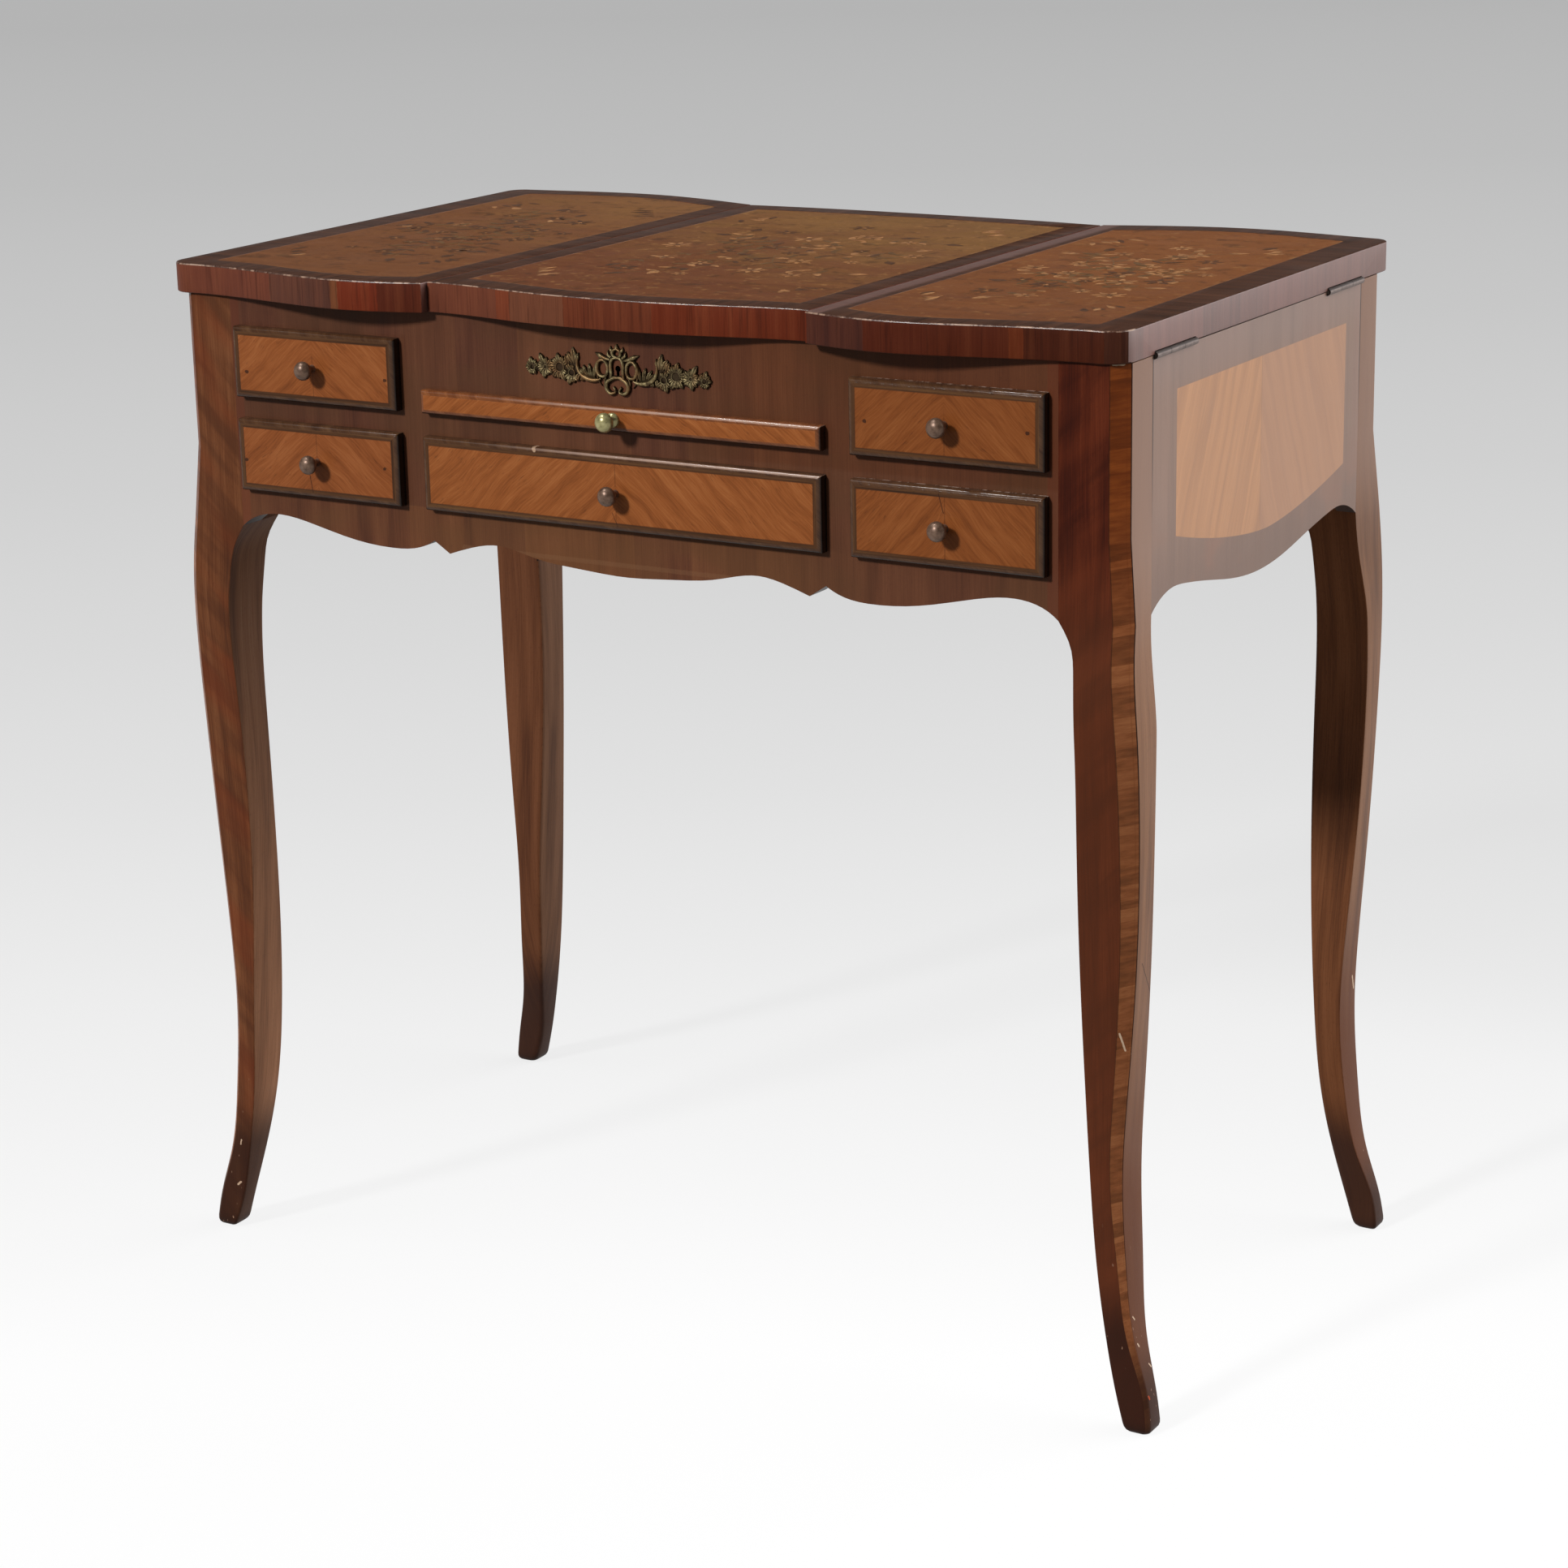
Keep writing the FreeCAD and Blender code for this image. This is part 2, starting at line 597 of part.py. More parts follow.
def knob(name, x, z):
    """A turned knob on a drawer front: ferrule, neck and ball about a line along Y."""
    forward = Rotation(Vector(1, 0, 0), 90)
    centre_distance = S["knob_reach"] - S["knob_radius"]
    ferrule = rod(f"{name}_ferrule", S["knob_ferrule_radius"], S["knob_ferrule_length"], x, FACE_Y, z,
                  forward)
    neck = rod(f"{name}_neck", S["knob_neck_radius"], centre_distance, x, FACE_Y, z, forward)
    ball = document.addObject("Part::Sphere", f"{name}_ball")
    bind(ball, Radius=S["knob_radius"])
    place(ball, x, FACE_Y - centre_distance, z)
    return fused(name, ferrule, neck, ball)


def make_false_fronts():
    """The fixed fronts above the side drawers, which hide the wells, and their knobs."""
    plain = board("false_front_plain", SIDE_FRONT_X, (FACE_Y, -HALF_DEPTH),
                  (FALSE_FRONT_BOTTOM, FALSE_FRONT_TOP))
    front = rounded_front("false_front_right", plain, S["front_rounding"])
    keep("false_front_right", front)
    keep("false_front_left", left_of("false_front_left", front))
    right = knob("false_knob_right", SIDE_KNOB_X, (FALSE_FRONT_BOTTOM + FALSE_FRONT_TOP) / 2)
    keep("false_front_knobs", group("false_front_knobs", right, left_of("false_knob_left", right)),
         solids=2)


def drawer_pieces(name, front_x, opening_x, knob_x):
    """A drawer's four pieces: lipped front, sides with the back, bottom and knob."""
    gap, wall = S["drawer_side_gap"], S["drawer_side_thickness"]
    west, east = opening_x[0] + gap, opening_x[1] - gap
    foot = RUNNER_TOP + S["running_gap"]
    plug_back = LIP_BACK_Y + S["drawer_plug_depth"]
    back = BACK_INNER_Y - S["drawer_back_margin"]
    lip = rounded_front(f"{name}_lip", board(f"{name}_lip_plain", front_x, (FACE_Y, LIP_BACK_Y),
                                             (DRAWER_FRONT_BOTTOM, DRAWER_FRONT_TOP)),
                        S["front_rounding"])
    side_height = (foot, OPENING_TOP - S["drawer_top_gap"])
    plug = board(f"{name}_plug", (west, east), (LIP_BACK_Y, plug_back), side_height)
    side_depth = (plug_back, back)
    walls = [board(f"{name}_side_west", (west, west + wall), side_depth, side_height),
             board(f"{name}_side_east", (east - wall, east), side_depth, side_height),
             board(f"{name}_back", (west + wall, east - wall), (back - wall, back), side_height)]
    bottom_foot = foot + S["drawer_bottom_height"]
    bottom = board(f"{name}_bottom", (west + wall, east - wall), (plug_back, back - wall),
                   (bottom_foot, bottom_foot + S["drawer_bottom_thickness"]))
    return {"front": (fused(f"{name}_front", lip, plug), 1),
            "sides": (group(f"{name}_sides", *walls), 3),
            "bottom": (bottom, 1),
            "knob": (knob(f"{name}_knob", knob_x, (DRAWER_FRONT_BOTTOM + DRAWER_FRONT_TOP) / 2), 1)}


def make_drawers():
    """The two side drawers and the centre drawer."""
    half_opening = S["partition_x"]
    right = drawer_pieces("right_drawer", SIDE_FRONT_X, SIDE_OPENING, SIDE_KNOB_X)
    centre = drawer_pieces("centre_drawer", CENTRE_FRONT_X, (-half_opening, half_opening), ZERO)
    for part, (item, solids) in right.items():
        keep(f"right_drawer_{part}", item, solids)
        keep(f"left_drawer_{part}", left_of(f"left_drawer_{part}", item), solids)
    for part, (item, solids) in centre.items():
        keep(f"centre_drawer_{part}", item, solids)


def make_slide():
    """The writing slide: a board with a lipped front and a knob."""
    foot = SLIDE_RUNNER_TOP + S["running_gap"]
    half_board = S["partition_x"] - S["drawer_side_gap"]
    plain = board("slide_front_plain", CENTRE_FRONT_X, (FACE_Y, LIP_BACK_Y),
                  (SLIDE_FRONT_BOTTOM, SLIDE_FRONT_TOP))
    keep("slide_front", rounded_front("slide_front", plain, S["front_rounding"]))
    keep("slide_board", board("slide_board", (-half_board, half_board),
                              (LIP_BACK_Y, BACK_INNER_Y - S["slide_back_margin"]),
                              (foot, foot + S["slide_thickness"])))
    keep("slide_knob", knob("slide_knob", ZERO, (SLIDE_FRONT_BOTTOM + SLIDE_FRONT_TOP) / 2))


def outline_points(shares, start, end, base, overhang):
    """Points of a front or back edge; base and overhang point the same way along Y."""
    return [(start + (end - start) * along, base + overhang * out, 0) for along, out in shares]


def corner_arc(start, end, radius, side):
    """A quarter turn between an edge along X and an edge along Y; side is -1 at the front."""
    reach = radius * 0.5 ** 0.5
    middle = (start[0] + reach, end[1] + side * reach, 0)
    return Part.Arc(Vector(*start), Vector(*middle), Vector(*end)).toShape()


def leaf_face(overhang, joint_inset, side_inset, edge_inset, front_corner, back_corner, height):
    """The plan of a leaf on the right side, or of its field where the insets aren't zero."""
    near = float(LEAF_JOINT_X) + SIZES["leaf_joint_gap"] / 2 + joint_inset
    far = float(HALF_WIDTH + overhang) - side_inset
    edge = float(HALF_DEPTH) - edge_inset
    front = outline_points(LEAF_FRONT_SHARES, near, far - front_corner, -edge, -SIZES["front_overhang"])
    back = outline_points(LEAF_BACK_SHARES, near, far - back_corner, edge, SIZES["back_overhang"])
    front_end = (far, front[-1][1] + front_corner, 0)
    back_end = (far, back[-1][1] - back_corner, 0)
    face = face_of(smooth(front), smooth(back), straight(front[0], back[0]), straight(front_end, back_end),
                   corner_arc(front[-1], front_end, front_corner, -1),
                   corner_arc(back[-1], back_end, back_corner, 1))
    return face.translated(Vector(0, 0, float(height)))


def lid_face(joint_inset, edge_inset, height):
    """The plan of the centre lid, or of its field where the insets aren't zero."""
    half = float(LEAF_JOINT_X) - SIZES["leaf_joint_gap"] / 2 - joint_inset
    edge = float(HALF_DEPTH) - edge_inset
    edges = []
    for shares, base, overhang in ((LID_FRONT_SHARES, -edge, -SIZES["front_overhang"]),
                                   (LID_BACK_SHARES, edge, SIZES["back_overhang"])):
        points = outline_points(shares, 0, half, base, overhang)
        edges.append([(-x, y, z) for x, y, z in reversed(points[1:])] + points)
    front, back = edges
    face = face_of(smooth(front), smooth(back), straight(front[0], back[0]), straight(front[-1], back[-1]))
    return face.translated(Vector(0, 0, float(height)))


def make_leaf(side, hinge_spaces):
    """A side leaf with its marquetry field, built on the right and mirrored if it's the left one."""
    overhang = S[f"{side}_leaf_overhang"]
    corner = SIZES["field_corner"]
    plain = extruded(f"{side}_leaf_plain", leaf_face(overhang, 0, 0, 0, SIZES["leaf_front_corner"],
                                                     SIZES["leaf_back_corner"], LEAF_BOTTOM),
                     Vector(0, 0, 1), S["leaf_thickness"])
    field = extruded(f"{side}_field_plain", leaf_face(overhang, SIZES["field_joint_inset"],
                                                      SIZES["field_side_inset"], SIZES["field_edge_inset"],
                                                      corner, corner,
                                                      S["overall_height"] - S["veneer_thickness"]),
                     Vector(0, 0, 1), S["veneer_thickness"])
    leaf = cut(f"{side}_leaf_cut", plain, field, *hinge_spaces)
    keep(f"{side}_leaf_board", on_side(side, f"{side}_leaf_board", leaf))
    keep(f"{side}_leaf_field", on_side(side, f"{side}_leaf_field", field))


def make_lid(hinge_spaces):
    """The centre lid with its field, the mirror below it and the lock's strike plate."""
    plain = extruded("lid_plain", lid_face(0, 0, LEAF_BOTTOM), Vector(0, 0, 1), S["leaf_thickness"])
    field = extruded("lid_field", lid_face(SIZES["field_joint_inset"], SIZES["field_edge_inset"],
                                           S["overall_height"] - S["veneer_thickness"]),
                     Vector(0, 0, 1), S["veneer_thickness"])
    bolt_front = FRONT_BACK_Y + S["bolt_inset"]
    bolt_middle = bolt_front + S["bolt_depth"] / 2
    half_width = S["strike_width"] / 2
    half_depth = S["strike_depth"] / 2
    plate_space = board("strike_plain", (-half_width, half_width),
                        (bolt_middle - half_depth, bolt_middle + half_depth),
                        (LEAF_BOTTOM, LEAF_BOTTOM + S["strike_thickness"]))
    half_hole = S["bolt_width"] / 2 + S["strike_clearance"]
    bolt_space = board("strike_hole", (-half_hole, half_hole),
                       (bolt_front - S["strike_clearance"],
                        bolt_front + S["bolt_depth"] + S["strike_clearance"]),
                       (LEAF_BOTTOM, LEAF_BOTTOM + S["bolt_throw"]))
    keep("strike_plate", cut("strike_plate", plate_space, bolt_space))
    lid = cut("lid_board", plain, field, plate_space, bolt_space, *hinge_spaces)
    keep("lid_board", lid)
    keep("lid_field", field)

    width, frame = S["partition_x"] - S["mirror_side_clearance"], S["mirror_frame_width"]
    front = FRONT_BACK_Y + S["lock_depth"] + S["mirror_lock_clearance"]
    back = BACK_INNER_Y - S["mirror_back_clearance"]
    inner_x = (-width + frame, width - frame)
    inner_y = (front + frame, back - frame)
    frame_foot = LEAF_BOTTOM - S["mirror_frame_thickness"]
    keep("mirror_frame", cut("mirror_frame", board("mirror_frame_plain", (-width, width), (front, back),
                                                   (frame_foot, LEAF_BOTTOM)),
                             board("mirror_frame_space", inner_x, inner_y,
                                   (frame_foot - S["cut_overrun"], LEAF_BOTTOM + S["cut_overrun"]))))
    keep("mirror_glass", board("mirror_glass", inner_x, inner_y,
                               (LEAF_BOTTOM - S["mirror_glass_thickness"], LEAF_BOTTOM)))


def make_lock():
    """The lock behind the front panel: its case, with a channel for the bolt, and the bolt."""
    half = S["lock_width"] / 2
    back = FRONT_BACK_Y + S["lock_depth"]
    foot = KEYHOLE_HEIGHT - S["lock_foot_drop"]
    case = board("lock_case_plain", (-half, half), (FRONT_BACK_Y, back), (foot, foot + S["lock_height"]))
    half_bolt = S["bolt_width"] / 2
    front = FRONT_BACK_Y + S["bolt_inset"]
    play = S["bolt_clearance"]
    bolt_foot = KEYHOLE_HEIGHT + S["bolt_foot_rise"]
    channel = board("lock_channel", (-half_bolt - play, half_bolt + play),
                    (front - play, front + S["bolt_depth"] + play),
                    (bolt_foot - play, CASE_TOP))
    keep("lock_case", cut("lock_case", case, channel))
    keep("lock_bolt", board("lock_bolt", (-half_bolt, half_bolt), (front, front + S["bolt_depth"]),
                            (bolt_foot, CASE_TOP - S["bolt_top_drop"])))


def make_escutcheon():
    """The pierced mount round the keyhole."""
    length, height = SIZES["escutcheon_half_length"], SIZES["escutcheon_height"]
    bottom = float(KEYHOLE_HEIGHT - S["escutcheon_foot_drop"])
    half = [(x * length, 0, bottom + z * height) for x, z in ESCUTCHEON_SHARES]
    outline = smooth(half)
    outline_left = smooth([(-x, y, z) for x, y, z in half])
    face = face_of(outline, outline_left)
    for x, z, radius in ESCUTCHEON_OPENING_SHARES:
        for side in (-1, 1):
            centre = Vector(side * x * length, 0, bottom + z * height)
            circle = Part.makeCircle(radius * length, centre, Vector(0, 1, 0))
            face = face.cut(Part.Face(Part.Wire(circle)))
    face = face.translated(Vector(0, float(-HALF_DEPTH), 0))
    plate = extruded("escutcheon_plain", face, Vector(0, -1, 0), S["escutcheon_thickness"])
    keep("escutcheon", cut("escutcheon", plate, keyhole("escutcheon", S["cut_overrun"])))


def hinge_half(name, side, knuckles):
    """One plate of a butt hinge with its knuckles, about a pin along X; side is 1 above the joint."""
    half_gap, thick = S["lid_gap"] / 2, S["hinge_plate_thickness"]
    levels = (half_gap * side, (half_gap + thick) * side)
    half = S["hinge_length"] / 2
    knuckle = S["hinge_length"] * KNUCKLE_SHARE
    gap = S["hinge_knuckle_gap"] / 2
    reach = S["hinge_knuckle_radius"] + S["hinge_recess_clearance"]
    parts = [board(f"{name}_plate", (-half, half), (-S["hinge_plate_width"], -reach), levels)]
    along_x = Rotation(Vector(0, 1, 0), 90)
    bore = S["hinge_pin_radius"]
    if side > 0:
        bore = bore + S["hinge_pin_clearance"]
    for number in knuckles:
        start = -half + knuckle * number
        start = start + gap if number > 0 else start
        end = -half + knuckle * (number + 1)
        end = end - gap if number < 2 else end
        parts.append(rod(f"{name}_knuckle{number}", S["hinge_knuckle_radius"], end - start, start, ZERO,
                         ZERO, along_x))
        parts.append(board(f"{name}_wing{number}", (start, end), (-reach, ZERO), levels))
    hole = rod(f"{name}_bore", bore, S["hinge_length"] + S["cut_overrun"] * 2,
               -half - S["cut_overrun"], ZERO, ZERO, along_x)
    return cut(name, fused(f"{name}_body", *parts), hole)


def hinge_space(name, side):
    """What a hinge takes out of the board on its side of the joint: the plate's bed and round space."""
    half_gap, thick = S["lid_gap"] / 2, S["hinge_plate_thickness"]
    half = S["hinge_length"] / 2
    reach = S["hinge_knuckle_radius"] + S["hinge_recess_clearance"]
    bed = board(f"{name}_bed", (-half, half), (-S["hinge_plate_width"], reach + S["cut_overrun"]),
                (ZERO, (half_gap + thick) * side))
    tube = rod(f"{name}_tube", reach, S["hinge_length"], -half, ZERO, ZERO,
               Rotation(Vector(0, 1, 0), 90))
    return fused(name, bed, tube)


def hinge(name, x, y, turn):
    """A whole hinge at its place: both plates, the pin and the spaces that they need."""
    level = CASE_TOP + S["lid_gap"] / 2
    rotation = Rotation(Vector(0, 0, 1), turn)
    half = S["hinge_length"] / 2
    pin = rod(f"{name}_pin_rod", S["hinge_pin_radius"], S["hinge_length"], -half, ZERO, ZERO,
              Rotation(Vector(0, 1, 0), 90))
    items = {"case_plate": hinge_half(f"{name}_case_plate", -1, (0, 2)),
             "flap_plate": hinge_half(f"{name}_flap_plate", 1, (1,)),
             "case_space": hinge_space(f"{name}_case_space", -1),
             "flap_space": hinge_space(f"{name}_flap_space", 1),
             "pin": group(f"{name}_pin", pin)}
    for item in items.values():
        place(item, x, y, level, rotation)
    return items


def leaf_hinges(side):
    """The two hinges of a leaf on the right side. The pin lies midway between the case's side and the
    leaf's edge, so that the edge of the opened leaf comes to rest along the side.
    """
    pin_x = HALF_WIDTH + S[f"{side}_leaf_overhang"] / 2 + S["leaf_hinge_clearance"]
    place_y = POST_Y - S["leaf_hinge_post_gap"] - S["hinge_length"] / 2
    return [hinge(f"{side}_leaf_hinge_front", pin_x, -place_y, -90),
            hinge(f"{side}_leaf_hinge_back", pin_x, place_y, -90)]


def make_hinges():
    """Two hinges for each leaf and two for the lid; returns what they cut from the case and the flaps."""
    lid_x = LEAF_JOINT_X - S["lid_hinge_inset"]
    lid_y = HALF_DEPTH + S["lid_hinge_offset"]
    hinges = {"right": leaf_hinges("right"), "left": leaf_hinges("left"),
              "lid": [hinge("lid_hinge_right", lid_x, lid_y, 0),
                      hinge("lid_hinge_left", -lid_x, lid_y, 0)]}

    def parts_of(side, part):
        return [on_side(side, item[part].Name + "_placed", item[part]) for item in hinges[side]]

    def parts_of_all(part):
        return [item for side in hinges for item in parts_of(side, part)]

    keep("case_hinge_plates", group("case_hinge_plates", *parts_of_all("case_plate")), solids=6)
    keep("hinge_pins", group("hinge_pins", *parts_of_all("pin")), solids=6)
    for side in ("right", "left"):
        keep(f"{side}_leaf_hinge_plates",
             group(f"{side}_leaf_hinge_plates", *parts_of(side, "flap_plate")), solids=2)
    keep("lid_hinge_plates", group("lid_hinge_plates", *parts_of("lid", "flap_plate")), solids=2)
    case_spaces = {side: [item["case_space"] for item in pair] for side, pair in hinges.items()}
    flap_spaces = {side: [item["flap_space"] for item in pair] for side, pair in hinges.items()}
    return case_spaces, flap_spaces


def check_document():
    """Stop if any object failed, or a piece is empty, broken or in the wrong number of solids."""
    document.recompute()
    for item in document.Objects:
        if "Invalid" in item.State or "Error" in item.State:
            raise RuntimeError(f"{item.Label} failed: {item.State}")
    for label, (item, solids) in pieces.items():
        shape = item.Shape
        if shape.isNull() or not shape.isValid():
            raise RuntimeError(f"{label} has no valid shape")
        if len(shape.Solids) != solids:
            raise RuntimeError(f"{label} has {len(shape.Solids)} solids, not {solids}")


def main():
    """Build every piece, check them and write one file for each."""
    case_spaces, flap_spaces = make_hinges()
    make_legs()
    make_front()
    make_sides(case_spaces)
    make_inside()
    make_false_fronts()
    make_drawers()
    make_slide()
    make_lock()
    make_escutcheon()
    make_leaf("right", flap_spaces["right"])
    make_leaf("left", flap_spaces["left"])
    make_lid(flap_spaces["lid"])
    check_document()
    os.makedirs("parts", exist_ok=True)
    for label, (item, _) in pieces.items():
        item.Shape.exportStep(f"parts/{label}.step")
    print(f"{len(pieces)} pieces written")


main()
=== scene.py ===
"""Looks of the poudreuse dressing table: legs, drawer fronts, knobs, keyhole mount, top and marquetry
built in numpy around the fixed frame, with the veneers and metals as node materials.

Sizes are in millimetres in the shapes, and become metres when a mesh is made; materials work in metres.
+X is the user's right, the front faces -Y, and the floor is at Z 0. Colours are screen colours, 0 to 255.
"""

import math
from functools import partial

import bmesh
import bpy
import numpy as np
from mathutils import Matrix, Vector


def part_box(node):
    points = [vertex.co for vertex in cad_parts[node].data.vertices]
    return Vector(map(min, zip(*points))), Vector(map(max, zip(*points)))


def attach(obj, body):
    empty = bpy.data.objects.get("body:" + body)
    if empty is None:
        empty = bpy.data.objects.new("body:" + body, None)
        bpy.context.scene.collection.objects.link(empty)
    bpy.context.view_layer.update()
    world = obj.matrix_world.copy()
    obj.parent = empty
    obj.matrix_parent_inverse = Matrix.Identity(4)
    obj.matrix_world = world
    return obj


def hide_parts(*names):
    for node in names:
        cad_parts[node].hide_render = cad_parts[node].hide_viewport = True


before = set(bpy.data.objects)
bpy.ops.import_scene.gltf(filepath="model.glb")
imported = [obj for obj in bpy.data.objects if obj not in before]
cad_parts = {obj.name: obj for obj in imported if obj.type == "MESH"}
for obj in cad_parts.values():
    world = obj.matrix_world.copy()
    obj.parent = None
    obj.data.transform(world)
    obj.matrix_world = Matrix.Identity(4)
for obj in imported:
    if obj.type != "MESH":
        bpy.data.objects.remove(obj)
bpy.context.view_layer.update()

MM = 0.001

# Planes of the case, in millimetres
HALF_WIDTH, HALF_DEPTH = 366.65, 206.45
POST_X, POST_Y = 321.65, 166.7
CASE_TOP = 709.2
FACE_Y = -214.45
KNEE_HEIGHT, POST_START = 546.0, 600.0
KEYHOLE_Z = 681.0

# Rows of the leg: height, shifts of the outer side and front face, insets of the two inner faces, cant
LEG_SHARES = np.array([
    (0.000, 0.979, 0.002, 1.063, 0.486, 0.25),
    (0.046, 0.826, -0.137, 0.886, 0.498, 0.26),
    (0.110, 0.345, -0.188, 0.728, 0.335, 0.33),
    (0.201, 0.007, -0.220, 0.566, 0.121, 0.42),
    (0.311, -0.164, -0.188, 0.463, 0.013, 0.60),
    (0.440, -0.016, -0.206, 0.366, 0.045, 0.70),
    (0.586, 0.234, -0.146, 0.294, 0.146, 0.80),
    (0.733, 0.368, 0.039, 0.286, 0.209, 0.93),
    (0.879, 0.354, 0.299, 0.297, 0.153, 1.04),
    (0.943, 0.275, 0.331, 0.257, 0.065, 1.06),
    (0.973, 0.243, 0.257, 0.188, 0.033, 1.05),
    (1.000, 0.225, 0.150, 0.000, 0.000, 1.04),
])
# How far each hand-made foot stands from where an exact copy would stand, in millimetres
LEG_LEANS = {"front_left": (-0.9, -2.4), "front_right": (-1.3, 4.3), "back_left": (1.4, 2.3),
             "back_right": (0.9, -0.8)}
FOOT_KICK, POST_WIDTH, POST_DEPTH, CORNER_CANT = 21.6, 45.0, 39.75, 10.5
# Rounding of the sole at the leg's lowest rows, then where the faces start to leave the post, and the
# heights over which they do, over which the edges grow round below the knee, and rounder near the foot
SOLE_ROUNDING = np.array([4.6, 3.3, 2.0, 0.9, 0.2])
FLUSH_START, FLUSH_REACH, EDGE_REACH, FOOT_REACH = KNEE_HEIGHT + 4, 80, 60, 90

# Front and back edges of the leaves and the lid, as in the frame
LEAF_FRONT_SHARES = ((0.00, 0.49), (0.14, 0.84), (0.28, 1.00), (0.50, 0.80), (0.74, 0.36), (1.00, 0.16))
LEAF_BACK_SHARES = ((0.00, 0.13), (0.20, 0.60), (0.40, 0.93), (0.55, 1.00), (0.80, 0.80), (1.00, 0.55))
LID_FRONT_SHARES = ((0.00, 0.93), (0.42, 0.75), (0.78, 0.30), (1.00, 0.20))
LID_BACK_SHARES = ((0.00, 0.27), (0.50, 0.24), (1.00, 0.06))
FRONT_OVERHANG, BACK_OVERHANG = 21.5, 27.31
FIELD_EDGE, LID_FIELD_HALF, LEAF_FIELD_NEAR = HALF_DEPTH - 21.0, 129.5, 167.5
LEAF_FIELD_FAR = {-1: 346.65, 1: 340.25}

# Levels of the veneer of the top and of the pieces cut into it, in millimetres
FIELD_LEVEL, FIELD_UNDERSIDE = 729.90, 729.1
STEM_LEVEL, LEAF_LEVEL, INLAY_UNDERSIDE = 729.91, 729.92, 729.5
LEAF_RISE, LEAF_LEVELS = 0.004, 19

# Camera, fitted to the photograph
CAMERA_TURNS = (31.0037, 16.3255, -1.18637)
CAMERA_PLACE = (1.3268, -2.2142, 1.0997)
FOCAL_PIXELS, PHOTO_PIXELS, SENSOR_WIDTH = 4562.68, 1932, 36.0


def show(name, data):
    """An object of the given data, put in the scene."""
    item = bpy.data.objects.new(name, data)
    bpy.context.scene.collection.objects.link(item)
    return item


def place_camera():
    """A camera at the photograph's place; its turn is yaw about Z, then pitch, then roll."""
    yaw, pitch, roll = (math.radians(angle) for angle in CAMERA_TURNS)
    back = Vector((math.sin(yaw) * math.cos(pitch), -math.cos(yaw) * math.cos(pitch), math.sin(pitch)))
    right = (-back).cross(Vector((0, 0, 1))).normalized()
    up = right.cross(-back)
    turned_right = right * math.cos(roll) + up * math.sin(roll)
    turned_up = up * math.cos(roll) - right * math.sin(roll)
    data = bpy.data.cameras.new("photo_camera")
    data.sensor_fit = "HORIZONTAL"
    data.sensor_width = SENSOR_WIDTH
    data.lens = FOCAL_PIXELS / PHOTO_PIXELS * SENSOR_WIDTH
    data.clip_start, data.clip_end = 0.05, 200.0
    camera = show("photo_camera", data)
    turn = Matrix((turned_right, turned_up, back)).transposed().to_4x4()
    camera.matrix_world = Matrix.Translation(Vector(CAMERA_PLACE)) @ turn
    bpy.context.scene.camera = camera


# Node materials

def screen(red, green, blue):
    """The linear colour of a screen colour given from 0 to 255."""
    share = np.array([red, green, blue]) / 255
    linear = np.where(share <= 0.04045, share / 12.92, ((share + 0.055) / 1.055) ** 2.4)
    return (*linear.tolist(), 1.0)


class Value:
    """An output of a node. Sums, steps and mixes of values each add a node and give its output. One
    value | another is the larger of the two.
    """

    def __init__(self, nodes, socket):
        self.nodes = nodes
        self.socket = socket

    def sum(self, operation, *others):
        """One step of arithmetic."""
        return self.nodes.node("Math", enumerate((self, *others)), operation=operation)

    def __add__(self, other):
        return self.sum("ADD", other)

    def __sub__(self, other):
        return self.sum("SUBTRACT", other)

    def __rsub__(self, other):
        return self * -1.0 + other

    def __mul__(self, other):
        return self.sum("MULTIPLY", other)

    def __truediv__(self, other):
        return self.sum("DIVIDE", other)

    def __pow__(self, other):
        return self.sum("POWER", other)

    def __abs__(self):
        return self.sum("ABSOLUTE")

    def __or__(self, other):
        return self.sum("MAXIMUM", other)

    def step(self, low, high):
        """Smoothly 0 below low and 1 above high; the other way round if low is above high."""
        limits = (low, high, 0.0, 1.0) if low < high else (high, low, 1.0, 0.0)
        return self.nodes.node("MapRange", enumerate((self, *limits)), interpolation_type="SMOOTHSTEP")

    def ramp(self, *stops, sharp=False):
        """A colour ramp; each stop is a place and a colour. A sharp one changes at the stops."""
        node = self.nodes.add("ValToRGB", {0: self})
        node.color_ramp.interpolation = "CONSTANT" if sharp else "LINEAR"
        elements = node.color_ramp.elements
        for index, (place, tone) in enumerate(stops):
            element = elements[index] if index < 2 else elements.new(place)
            element.position = place
            element.color = screen(*tone)
        return Value(self.nodes, node.outputs[0])

    def tones(self, tones, low, high):
        """A ramp of a dark, a middle and a light tone, the middle one at a half."""
        return self.ramp(*zip((low, 0.5, high), tones))

    def mix(self, other, factor, blend="MIX"):
        """A colour mixed with another one."""
        return self.nodes.mix(self, other, factor, blend)

    def tint(self, tone, factor):
        """A colour mixed with a screen colour."""
        return self.mix(screen(*tone), factor)

    def times(self, shares, factor=1.0):
        """A colour whose red, green and blue are multiplied, as far as the factor says."""
        return self.mix((*shares, 1.0), factor, "MULTIPLY")


